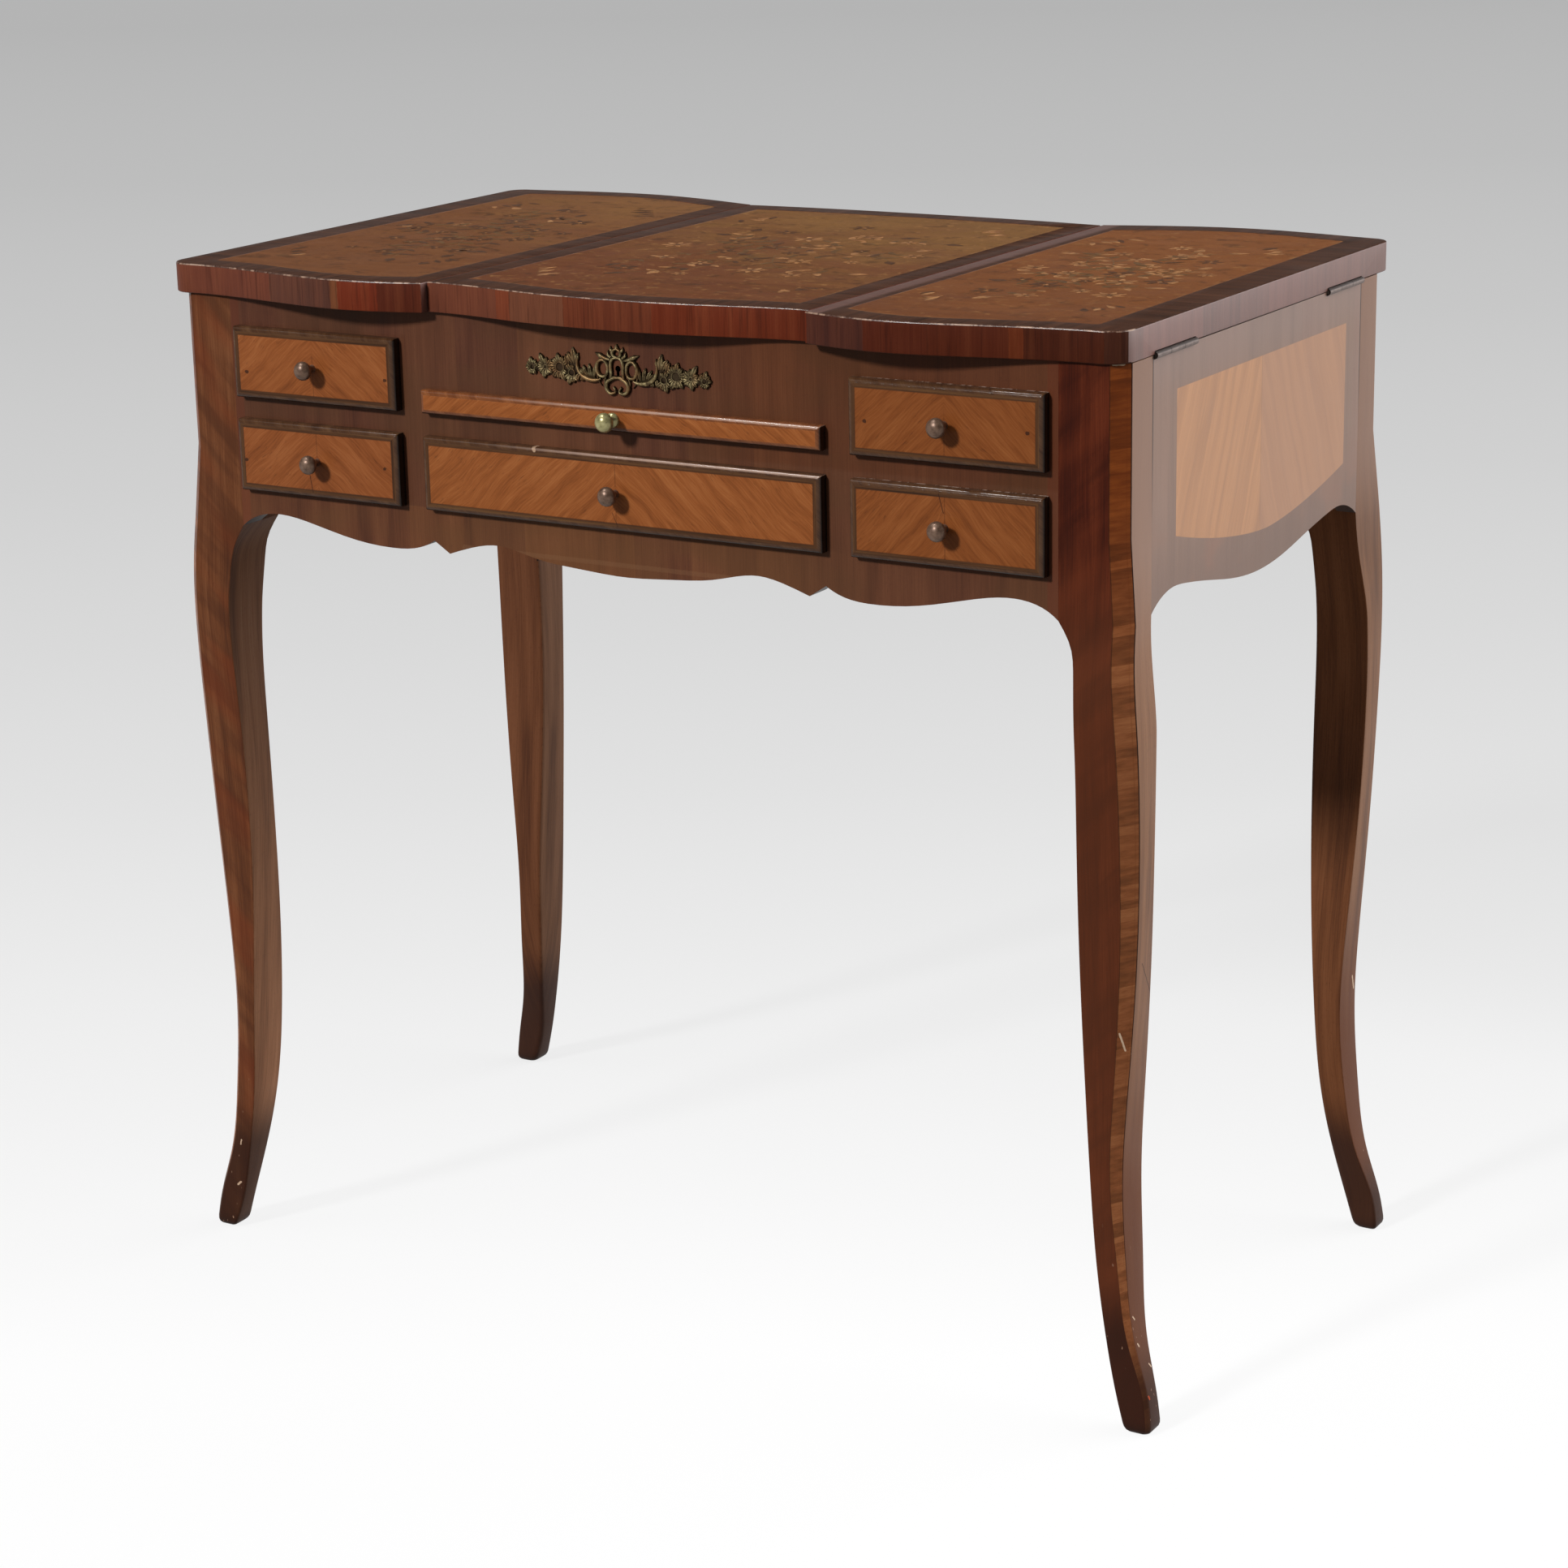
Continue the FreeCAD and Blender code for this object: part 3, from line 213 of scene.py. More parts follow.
class Nodes:
    """The nodes of a material or a world, from an empty start."""

    def __init__(self, tree):
        self.tree = tree
        tree.nodes.clear()

    def feed(self, socket, value):
        """Give a socket a number, a colour or another node's output."""
        if isinstance(value, Value):
            self.tree.links.new(value.socket, socket)
        else:
            socket.default_value = value

    def add(self, kind, inputs=(), **settings):
        """A node of any kind, with its inputs by place in the list or by name."""
        node = self.tree.nodes.new(f"ShaderNode{kind}")
        for name, value in settings.items():
            setattr(node, name, value)
        for key, value in dict(inputs).items():
            self.feed(node.inputs[key], value)
        return node

    def node(self, kind, inputs=(), output=0, **settings):
        """One output of a new node."""
        return Value(self, self.add(kind, inputs, **settings).outputs[output])

    def split(self, vector):
        """The three parts of a vector."""
        return [Value(self, part) for part in self.add("SeparateXYZ", {0: vector}).outputs]

    def mix(self, first, second, factor, blend="MIX"):
        """Two colours mixed by a factor."""
        return self.node("Mix", {0: factor, 6: first, 7: second}, output=2, data_type="RGBA",
                         blend_type=blend)


class Finish(Nodes):
    """A surface in the making, with its place and the way that it faces as values."""

    def __init__(self, name, metallic=0.0, coat=0.0, gloss=0.5):
        self.material = bpy.data.materials.new(name)
        self.material.use_nodes = True
        super().__init__(self.material.node_tree)
        self.shader = self.add("BsdfPrincipled", {"Metallic": metallic, "Specular IOR Level": gloss,
                                                  "Coat Weight": coat, "Coat Roughness": 0.42})
        self.add("OutputMaterial", {"Surface": Value(self, self.shader.outputs[0])})
        self.place = self.node("TexCoord", output="Object")
        self.x, self.y, self.z = self.split(self.place)
        self.nx, self.ny, self.nz = self.split(self.node("TexCoord", output="Normal"))

    def set(self, **inputs):
        """Set or link inputs of the surface shader, their names in small letters."""
        for name, value in inputs.items():
            self.feed(self.shader.inputs[name.replace("_", " ").title()], value)

    def attribute(self, name):
        """A number that the mesh carries at its points."""
        return self.node("Attribute", output=2, attribute_name=name)

    def join(self, x, y, z):
        """A vector from three parts."""
        return self.node("CombineXYZ", enumerate((x, y, z)))

    def noise(self, vector, sizes=(1.0, 1.0, 1.0), detail=2.0, roughness=0.5, distortion=0.0):
        """Soft noise from 0 to 1, each of its turns as long as the sizes in metres."""
        scaled = self.node("VectorMath", {0: vector, 1: [1 / size for size in sizes]}, operation="MULTIPLY")
        return self.node("TexNoise", {"Vector": scaled, "Scale": 1.0, "Detail": detail,
                                      "Roughness": roughness, "Distortion": distortion})

    def cloud(self, size, **settings):
        """Noise in space, of one size or of a size for each axis."""
        return self.noise(self.place, np.broadcast_to(size, 3).tolist(), **settings)

    def grain(self, across, along, width, length, seed, **settings):
        """Noise of a width across a direction and a length along another."""
        return self.noise(self.join(across, seed, along), (width, 1.0, length), **settings)

    def veneer(self, across, along, tones, band=0.011, lines=0.0009, seed=0.0):
        """Colour and pore height of a veneer. Broad growth bands and fine lines, both long noise along
        the grain, are added and looked up in the dark, middle and light tones; short dark pores lie over
        them.
        """
        wide = self.grain(across, along, band, 0.22, seed, detail=3.0, distortion=0.6)
        fine = self.grain(across, along, lines, 0.05, seed, roughness=0.6)
        pore = self.grain(across, along, 0.00045, 0.0042, seed, detail=1.0).step(0.60, 0.70)
        colour = (wide * 0.62 + fine * 0.38).tones(tones, 0.34, 0.66)
        return colour.tint(tones[0], pore * 0.42), pore

    def blocks(self, along, width, colour, tones, seed, amount):
        """Tint a veneer in upright blocks, each with its own share of a dark or a light tone."""
        wander = self.noise(self.join(along * 9.0, seed, 0.0))
        place = wander * 1.6 + along / width
        chance = self.node("TexWhiteNoise", {1: place.sum("FLOOR") + seed}, noise_dimensions="1D")
        return colour.mix(chance.tones(tones, 0.15, 0.9), amount)

    def marks(self, across, *marks):
        """1 within reach of any mark. A mark is a line between two points and a half width, in
        millimetres along the given direction and upwards, and it has a rough outline.
        """
        place = self.join(across, self.z, 0.0)
        rough = self.cloud(0.0016)
        found = None
        for start, end, half in marks:
            start, end = np.array((start, end), float) * MM
            run = end - start
            offset = self.node("VectorMath", {0: place, 1: (*start, 0.0)}, operation="SUBTRACT")
            share = self.node("VectorMath", {0: offset, 1: (*(run / (run @ run)), 0.0)}, output=1,
                              operation="DOT_PRODUCT")
            share = self.node("Clamp", {0: share})
            nearest = self.node("VectorMath", {0: (*run, 0.0), 3: share}, operation="SCALE")
            gap = self.node("VectorMath", {0: offset, 1: nearest}, output=1, operation="DISTANCE")
            mark = (rough * (half * MM) + gap).step(half * 1.65 * MM, half * 1.3 * MM)
            found = found | mark if found else mark
        return found

    def surface(self, colour, roughness, height, relief):
        """The material with its colour, its roughness and a height, 0 to 1, raised by the relief in
        metres.
        """
        raised = self.node("Bump", {"Strength": 1.0, "Distance": relief, "Height": height})
        self.set(base_color=colour, roughness=roughness, normal=raised, coat_normal=raised)
        return self.material

    def polished(self, colour, pore, base=0.30, spread=0.16, relief=0.00005):
        """The material under old french polish: roughness that wanders with a soft noise, and the pores
        just sunk.
        """
        cloud = self.cloud(0.03, detail=3.0)
        return self.surface(colour, cloud * spread + base, cloud - pore * 0.6, relief)


KINGWOOD = ((64, 37, 26), (90, 54, 37), (108, 68, 47))
KINGWOOD_BROWN = ((74, 42, 27), (104, 61, 37), (124, 78, 50))
KINGWOOD_RED = ((46, 15, 8), (72, 28, 14), (94, 42, 23))
KINGWOOD_GOLD = ((78, 36, 16), (113, 55, 27), (136, 73, 39))
KINGWOOD_DEEP = ((74, 35, 18), (111, 59, 31), (138, 78, 42))
KINGWOOD_BLOCKS = ((76, 44, 35), (91, 56, 40), (108, 68, 46))
KINGWOOD_SIDE = ((112, 80, 62), (131, 97, 76), (145, 109, 88))
SIDE_BLOCKS = ((114, 84, 68), (131, 97, 77), (139, 99, 82))
TULIPWOOD = ((112, 60, 28), (139, 78, 39), (157, 95, 53))
TULIPWOOD_SIDE = ((164, 112, 71), (180, 124, 78), (192, 134, 86))
STRIP_POST = ((88, 41, 14), (107, 51, 19), (130, 66, 26))
STRIP_LEG = ((106, 63, 37), (133, 79, 47), (151, 96, 60))
BANDING = ((48, 30, 18), (80, 51, 30), (98, 67, 40))
CROSSBAND = ((49, 31, 23), (68, 43, 31), (84, 54, 39))
TOP_EDGE = ((58, 26, 17), (98, 50, 32), (126, 72, 46))
LEAF_SIDE = ((92, 60, 52), (112, 74, 64), (130, 88, 76))
LEAF_SIDE_BLOCKS = ((98, 66, 58), (112, 76, 66), (126, 80, 70))
LEG_SIDE = ((104, 76, 62), (135, 98, 75), (149, 110, 84))
LEG_INNER = ((76, 50, 34), (104, 72, 49), (120, 86, 61))
GROUND = ((80, 46, 24), (101, 60, 32), (118, 74, 42))
OAK = ((112, 76, 46), (152, 110, 70), (176, 136, 92))
HINGE_BRASS = ((96, 82, 78), (120, 106, 100), (136, 122, 116))
JOINT_LINE, WORN = (48, 32, 26), (158, 122, 100)

# Where the veneer changes along the front edge of the top, in metres along X
EDGE_VENEERS = ((-0.395, (108, 60, 46)), (-0.277, (88, 57, 47)), (-0.218, (118, 72, 45)),
                (-0.211, (112, 42, 23)), (-0.181, (84, 35, 22)), (-0.1485, (106, 59, 43)),
                (-0.088, (122, 60, 38)), (-0.076, (110, 67, 48)), (-0.028, (104, 50, 31)),
                (0.040, (108, 43, 23)), (0.1485, (80, 48, 41)), (0.195, (88, 36, 21)),
                (0.240, (95, 42, 24)), (0.293, (116, 54, 27)), (0.300, (75, 34, 19)),
                (0.354, (70, 43, 33)))
EDGE_START, EDGE_LENGTH = -0.395, 0.79


def slanted(beside, height, degrees):
    """The ways across and along a grain that rises at an angle."""
    cosine, sine = math.cos(math.radians(degrees)), math.sin(math.radians(degrees))
    return beside * sine + height * cosine, height * sine - beside * cosine


def make_front_veneer():
    """The case's front: fine upright grain, with joints where one sheet of veneer meets the next."""
    finish = Finish("kingwood_front", gloss=0.08)
    x, z = finish.x, finish.z
    colour, pore = finish.veneer(x, z, KINGWOOD, band=0.016)
    colour = finish.blocks(x, 0.045, colour, KINGWOOD_BLOCKS, 3.0, 0.4)
    colour = colour.tint((84, 56, 36), finish.cloud((0.08, 0.08, 0.05)).step(0.42, 0.64) * 0.4)
    colour = colour.tint((98, 50, 34), abs(x).step(0.314, 0.3144) * 0.5)
    colour = colour.times((1.26, 1.27, 1.12), z.step(0.5745, 0.5735) * x.step(0.22, 0.02))
    colour = colour.times((0.90, 0.80, 0.70), z.step(0.626, 0.63) * x.step(0.02, 0.12))
    colour = colour.tint((132, 96, 68), finish.marks(x, ((-130, 549), (120, 549), 1.6)) * 0.22)
    # Painted shade: faces that do not face front or back, such as undersides and ends, are darkened.
    colour = colour.tint((40, 26, 18), abs(finish.ny).step(0.8, 0.5))
    return finish.polished(colour, pore)


def make_side_veneer():
    """A side: a border of upright grain round a field of tulipwood, which is book-matched about its middle
    with the grain steep and rising to it. The field is straight above and at its ends and sags below. A
    fine joint shows beside each post below the hinges.
    """
    finish = Finish("side_veneer", coat=0.5)
    y, z = finish.y, finish.z
    border, border_pore = finish.veneer(y, z, KINGWOOD_SIDE, seed=2.0)
    border = finish.blocks(y, 0.05, border, SIDE_BLOCKS, 11.0, 0.35)
    low = z.step(0.62, 0.54)
    border = border.tint((104, 70, 50), low * 0.75)
    border = border.tint((150, 94, 62), finish.cloud((0.05, 0.05, 0.03)).step(0.50, 0.66) * low * 0.4)
    # Painted sheen: the top of the border is made paler and greyer.
    border = border.tint((140, 118, 112), z.step(0.672, 0.705) * 0.30)
    across, along = slanted(finish.cloud(0.05) * 0.012 + abs(y), z, 68)
    field, field_pore = finish.veneer(across, along, TULIPWOOD_SIDE, band=0.009, lines=0.0007, seed=6.0)
    field = field.tint((164, 118, 90), y.step(-0.001, 0.001) * 0.5)
    field = field.tint((110, 68, 42), abs(y).step(0.0005, 0.0002) * 0.35)
    lower = (abs(y - 0.012) / 0.138) ** 1.6 * 0.0214 + 0.5664
    inside = (z - lower).step(-0.0002, 0.0002) * z.step(0.6834, 0.683)
    inside = inside * y.step(-0.1317, -0.1313) * y.step(0.1419, 0.1415)
    colour = border.mix(field, inside)
    colour = colour.tint((100, 68, 52), inside * (1.0 - inside) * 1.6)
    joint = abs(abs(y) - 0.1664).step(0.0007, 0.0004) * z.step(0.60, 0.66)
    colour = colour.tint(JOINT_LINE, joint * 0.75)
    # Painted shade: faces that do not face the sides, such as undersides and edges, are darkened.
    colour = colour.tint((52, 34, 24), abs(finish.nx).step(0.8, 0.5))
    finish.set(coat_weight=abs(finish.nx).step(0.5, 0.8) * 0.5)
    return finish.polished(colour, border_pore.mix(field_pore, inside), base=0.36)


def make_back_veneer():
    """The back, plain and dull."""
    finish = Finish("kingwood_back", gloss=0.2)
    colour, pore = finish.veneer(finish.z, finish.x, KINGWOOD, band=0.02, seed=5.0)
    return finish.polished(colour.tint((60, 38, 28), 0.35), pore, base=0.5, relief=0.0001)


def foot_shade(finish, colour, top=0.115, depth=0.82):
    """Darken a leg towards the foot, and further in its lowest twelve millimetres."""
    colour = colour.tint((42, 22, 15), finish.z.step(top, top - 0.05) * depth)
    return colour.tint((30, 20, 15), finish.z.step(0.012, 0.0) * 0.5)


def scuffs(finish, colour):
    """A few pale scratches low on a leg."""
    scratch = finish.cloud((0.0018, 0.0018, 0.007), detail=1.0).step(0.755, 0.775)
    return colour.tint(WORN, scratch * finish.z.step(0.16, 0.05))


def make_leg_veneer(name, tones, seed, red, lower_tone):
    """The front and back faces of a leg: upright grain crossed by soft dark bands that rise outwards."""
    finish = Finish(name, gloss=0.06)
    x, z = finish.x, finish.z
    colour, pore = finish.veneer(x, z, tones, seed=seed)
    slant, drift = (z - abs(x)) * 0.72, (z + abs(x)) * 0.72
    bands = finish.grain(slant, drift, 0.016, 0.14, seed, detail=3.0, distortion=0.3)
    colour = colour.tint(tones[0], bands.step(0.42, 0.68) * 0.6)
    glow = finish.grain(slant, drift, 0.035, 0.12, seed + 5, detail=1.0)
    colour = colour.tint((116, 52, 28), glow.step(0.48, 0.66) * red)
    if lower_tone:
        colour = colour.tint(lower_tone, z.step(0.62, 0.50) * 0.45)
    nicks = finish.marks(x, ((-367.4, 34.5), (-364.6, 37.0), 0.8), ((-363.0, 67.5), (-362.2, 71.0), 0.6))
    colour = foot_shade(finish, colour).tint((190, 160, 134), nicks * finish.y.step(0.0, -0.1))
    return finish.polished(scuffs(finish, colour), pore)


# Marks on the outer side of the right legs: tone, then from, to and half width in millimetres of Y and Z
SIDE_MARKS = (((50, 32, 24), ((-186.1, 322.2), (-168.6, 294.8), 0.28)),
              ((206, 178, 152), ((188.5, 196.0), (192.0, 186.0), 0.8),
               ((-198.0, 86.6), (-196.2, 84.4), 0.6), ((-191.4, 79.0), (-189.4, 76.4), 0.5),
               ((-191.6, 60.6), (-190.4, 58.6), 0.6), ((-184.4, 44.6), (-182.6, 42.0), 0.5)),
              ((168, 70, 34), ((-195.4, 26.6), (-194.6, 24.8), 0.8)))
# Pale slivers of the right front strip
STRIP_CHIPS = (((362.0, 277.5), (364.6, 265.0), 0.45), ((367.6, 262.5), (369.6, 249.0), 0.4),
               ((358.0, 709.2), (362.5, 709.2), 0.9))


def make_leg_side():
    """The left and right faces of a leg: fine upright grain under a clouded polish, with painted sheen that
    makes the post paler and greyer, redder towards the foot, with a hairline crack and a few pale knocks on
    the right legs.
    """
    finish = Finish("leg_side_faces", gloss=0.1)
    y, z = finish.y, finish.z
    colour, pore = finish.veneer(y, z, LEG_SIDE, band=0.014, seed=9.0)
    # Painted sheen: the post and the upper leg are made paler and greyer.
    colour = colour.tint((157, 129, 115), z.step(0.50, 0.60) * 0.75)
    colour = colour.tint((92, 46, 18), z.step(0.32, 0.14) * 0.85)
    joint = abs(abs(y) - 0.167).step(0.0006, 0.0003) * z.step(0.60, 0.66)
    colour = foot_shade(finish, colour.tint(JOINT_LINE, joint * 0.75), top=0.07, depth=0.8)
    for tone, *marks in SIDE_MARKS:
        colour = colour.tint(tone, finish.marks(y, *marks) * finish.x.step(-0.1, 0.1))
    return finish.polished(scuffs(finish, colour), pore, base=0.36)


def make_strip_veneer():
    """The crossbanded strip on the canted corner: level bands of light and dark orange between two dark
    joints, browner below the knee.
    """
    finish = Finish("corner_strip", gloss=0.08)
    beside = finish.attribute("beside")
    level = beside * 0.0006 + finish.z
    place = finish.noise(finish.join(level * 60.0, 3.0, 0.0)) * 3.2 + level / 0.0085
    chance = finish.node("TexWhiteNoise", {1: place.sum("FLOOR")}, noise_dimensions="1D")
    narrow = finish.grain(beside, level, 1 / 0.3, 0.004, 7.0, detail=3.0, roughness=0.6)
    both = chance * 0.3 + narrow * 0.7
    leg, post = (both.tones(tones, 0.32, 0.70) for tones in (STRIP_LEG, STRIP_POST))
    colour = leg.mix(post, finish.z.step(0.48, 0.64))
    hatch = finish.noise(finish.join(beside * 4.5, 2.0, 0.0), detail=1.0)
    fine = finish.grain(beside, level, 1.0, 0.0007, 1.0) | hatch * 0.95
    colour = colour.tint(STRIP_POST[0], fine.step(0.5, 0.66) * 0.24)
    colour = foot_shade(finish, colour, top=0.08, depth=0.85)
    joints = beside.step(-0.88, -0.92) | beside.step(0.91, 0.94) * 0.65
    colour = colour.tint((34, 20, 14), joints * finish.z.step(0.05, 0.12))
    colour = colour.tint((204, 176, 148), finish.marks(finish.x, *STRIP_CHIPS) * finish.y.step(0.0, -0.1))
    return finish.polished(colour, fine)


def make_inner_leg():
    """The inner faces of a leg, brown and duller; those that face the front are golden. Painted light makes
    the inner faces of the front legs brighter than those of the back legs, and brightens the face of the
    back right leg that looks to the front, most on its upper part under the case.
    """
    finish = Finish("leg_inner_faces", gloss=0.10)
    x, y, z = finish.x, finish.y, finish.z
    colour, pore = finish.veneer(x - y, z, LEG_INNER, seed=8.0)
    # Painted light: the inner faces of the front legs are brightened, those of the back legs dimmed.
    light = finish.mix((0.80, 0.76, 0.80, 1.0), (1.94, 1.88, 2.02, 1.0), y.step(0.0, -0.1))
    colour = colour.mix(light, 1.0, "MULTIPLY")
    # Painted light: the front-facing face of the back right leg is brightened, most on its upper part under
    # the case.
    right_leg_painted_light = finish.mix((1.22, 0.95, 0.72, 1.0), (2.0, 1.62, 1.25, 1.0), z.step(0.28, 0.46))
    golden_and_painted_light = finish.mix((1.02, 0.79, 0.64, 1.0), right_leg_painted_light, x.step(-0.1, 0.1))
    colour = colour.mix(golden_and_painted_light, finish.ny.step(-0.3, -0.7), "MULTIPLY")
    crack = finish.marks(x, ((-334.5, 540.0), (-336.0, 440.0), 0.45)) * y.step(0.0, 0.1)
    colour = foot_shade(finish, colour.tint((36, 24, 18), crack), depth=0.85)
    return finish.polished(colour, pore, base=0.42)


def front_limits(node):
    """The middle and half sizes of a drawer front in metres."""
    low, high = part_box(node)
    return ((low.x + high.x) / 2, (low.z + high.z) / 2), ((high.x - low.x) / 2, (high.z - low.z) / 2)


# Nail holes and cracks in the fronts: node, share, from, to, half width in millimetres of X and Z
FRONT_MARKS = (("false_front_left", 0.85, (-304.2, 658.4), (-303.4, 658.4), 1.3),
               ("false_front_left", 0.85, (-185.0, 660.9), (-184.4, 660.9), 1.2),
               ("left_drawer_front", 0.85, (-309.0, 596.0), (-308.2, 596.0), 1.2),
               ("left_drawer_front", 0.85, (-188.8, 599.5), (-188.2, 599.5), 1.1),
               ("left_drawer_front", 0.8, (-253.6, 591.0), (-251.4, 577.5), 0.35),
               ("false_front_right", 0.85, (189.2, 662.8), (189.8, 662.8), 1.2),
               ("false_front_right", 0.85, (304.2, 664.4), (304.8, 664.4), 1.2),
               ("right_drawer_front", 0.8, (242.0, 621.0), (245.4, 609.0), 0.35),
               ("centre_drawer_front", 0.6, (-3.0, 586.0), (1.0, 577.0), 0.3))


def make_front_finish(node, inset, slant, seed, tint):
    """A drawer front: a tulipwood field, book-matched about its middle with the grain rising towards it,
    inside a darker banding. Short dark dashes lie along the grain, with nail holes near the ends.
    """
    finish = Finish(f"{node}_veneer", gloss=0.10)
    middle, half = front_limits(node)
    x, z = finish.x, finish.z
    beside, height = abs(x - middle[0]), z - middle[1]
    across, along = slanted(beside, height, slant)
    across = finish.grain(x, z, 0.035, 0.035, seed, detail=1.0) * 0.008 + across
    wide = finish.grain(across, along, 0.007, 0.08, seed, detail=4.0, roughness=0.62)
    fine = finish.grain(across, along, 0.0010, 0.016, seed)
    field = (wide * 0.62 + fine * 0.38).tones(TULIPWOOD, 0.33, 0.67)
    patches = finish.cloud((0.03, 0.03, 0.02))
    dashes = finish.grain(across, along, 0.0008, 0.008, seed + 2).step(0.60, 0.70)
    field = field.tint((78, 42, 22), dashes * patches.step(0.40, 0.62) * 0.6)
    seam = beside.step(0.0005, 0.0002) * patches.step(0.4, 0.5)
    field = field.tint((70, 36, 18), seam * 0.45).times(tint)
    from_side, from_edge = half[0] - beside, half[1] - abs(height)
    nearest = from_side.sum("MINIMUM", from_edge)
    level_band, _ = finish.veneer(z, x, BANDING, band=0.003, seed=seed + 4)
    upright_band, _ = finish.veneer(x, z, BANDING, band=0.003, seed=seed + 5)
    banding = level_band.mix(upright_band, (from_side - from_edge).step(0.0003, -0.0003))
    colour = banding.mix(field, nearest.step(inset - 0.0002, inset + 0.0002))
    line = nearest.step(inset - 0.0008, inset - 0.0003) * nearest.step(inset + 0.0006, inset + 0.0001)
    colour = colour.tint((58, 34, 20), line * 0.5)
    for marked, share, *mark in FRONT_MARKS:
        if marked == node:
            colour = colour.tint((48, 26, 16), finish.marks(x, mark) * share)
    return finish.polished(colour, fine | line, spread=0.14)


def make_front_edge(name, tones):
    """The rounded edge of the fronts: banding polished smooth, with painted shade darkest below and on the
    ends, rubbed places, light lines on the upper arrises, a painted highlight along the upper arris of the
    fronts near the middle, and one chip.
    """
    finish = Finish(name, gloss=0.16)
    x, nz = finish.x, finish.nz
    colour, pore = finish.veneer(x + finish.z, finish.y, tones, band=0.01, seed=3.0)
    # Painted shade: the ends and the underside of the edge are darkened.
    dark = abs(finish.nx).step(0.55, 0.90) | nz.step(-0.4, -0.8)
    colour = colour.tint((22, 14, 10), dark * 0.85)
    rubbed = finish.cloud((0.012, 0.003, 0.003), detail=3.0, roughness=0.65).step(0.60, 0.70)
    colour = colour.tint((132, 98, 74), rubbed * nz.step(0.3, 0.8) * 0.25)
    broken = finish.cloud((0.006, 0.1, 0.1), detail=3.0, roughness=0.7).step(0.44, 0.60)
    at_back = finish.y.step(-0.2090, -0.2078) * nz.step(0.6, 0.9) * x.step(0.16, 0.22)
    colour = colour.tint((196, 172, 156), at_back * broken * 0.8)
    # Painted highlight: a pale line along the upper arris of the fronts near the middle.
    arris = nz.step(0.3, 0.5) * nz.step(0.92, 0.75) * x.step(-0.12, 0.02) * x.step(0.16, 0.155)
    colour = colour.tint((190, 158, 140), arris * 0.6)
    colour = colour.tint((170, 140, 116), finish.marks(x, ((-65.6, 625.0), (-64.0, 622.6), 1.1)))
    soft = finish.cloud((0.004, 0.01, 0.01), detail=1.0)
    return finish.surface(colour, soft * 0.06 + 0.13, pore, 0.00001)


def make_top_veneer(name, seed):
    """A board of the top, seen from above and in front: dark crossbanding, and on its front and back
    edges sheets of upright grain in different reds and browns.
    """
    finish = Finish(name, gloss=0.05)
    x, y, z = finish.x, finish.y, finish.z
    end_band = abs(y).step(0.190, 0.1905)
    cross, pore = finish.veneer(x, y, CROSSBAND, band=0.006, seed=seed)
    side_cross, side_pore = finish.veneer(y, x, CROSSBAND, band=0.006, seed=seed + 1)
    # Painted sheen: a grey lilac band on the leaf beside the lid's right joint.
    painted_joint_sheen = x.step(0.1485, 0.1491) * x.step(0.1645, 0.1575)
    above = side_cross.mix(cross, end_band).tint((128, 100, 94), painted_joint_sheen * 0.45)
    edge, edge_pore = finish.veneer(x, z, TOP_EDGE, band=0.009, seed=seed + 2)
    place = finish.noise(finish.join(z * 120.0, seed, 0.0)) * 0.002 + x
    sheets = [((along - EDGE_START) / EDGE_LENGTH, tone) for along, tone in EDGE_VENEERS]
    edge = edge.mix(((place - EDGE_START) / EDGE_LENGTH).ramp(*sheets, sharp=True), 0.68)
    streak = finish.grain(x, z, 0.0022, 0.05, seed, detail=3.0)
    edge = edge.tint((48, 22, 14), streak.step(0.50, 0.7) * 0.4)
    edge = edge.times((0.68, 0.62, 0.60), x.step(0.10, 0.16))
    flat = abs(finish.nz).step(0.6, 0.8)
    pores = edge_pore.mix(side_pore.mix(pore, end_band), flat)
    return finish.polished(edge.mix(above, flat), pores, base=0.34)


def make_top_side():
    """The outer edges of the leaves: upright grain under a clouded polish."""
    finish = Finish("leaf_side_edges", coat=0.5)
    colour, pore = finish.veneer(finish.y, finish.z, LEAF_SIDE, band=0.010, seed=4.0)
    colour = finish.blocks(finish.y, 0.05, colour, LEAF_SIDE_BLOCKS, 5.0, 0.4)
    return finish.polished(colour, pore, base=0.36)


def make_arris():
    """The upper arris of the top, rubbed through to pale wood in short stretches along the front."""
    finish = Finish("worn_arris")
    fine = finish.cloud((0.0016, 0.0016, 0.004), detail=1.0)
    worn = (finish.cloud(0.016, detail=4.0, roughness=0.7) + fine * 0.25).step(0.58, 0.72)
    colour = finish.mix(screen(74, 46, 34), screen(158, 128, 108), worn * finish.y.step(-0.185, -0.195))
    return finish.surface(colour, fine * 0.3 + 0.16, fine, 0.00006)


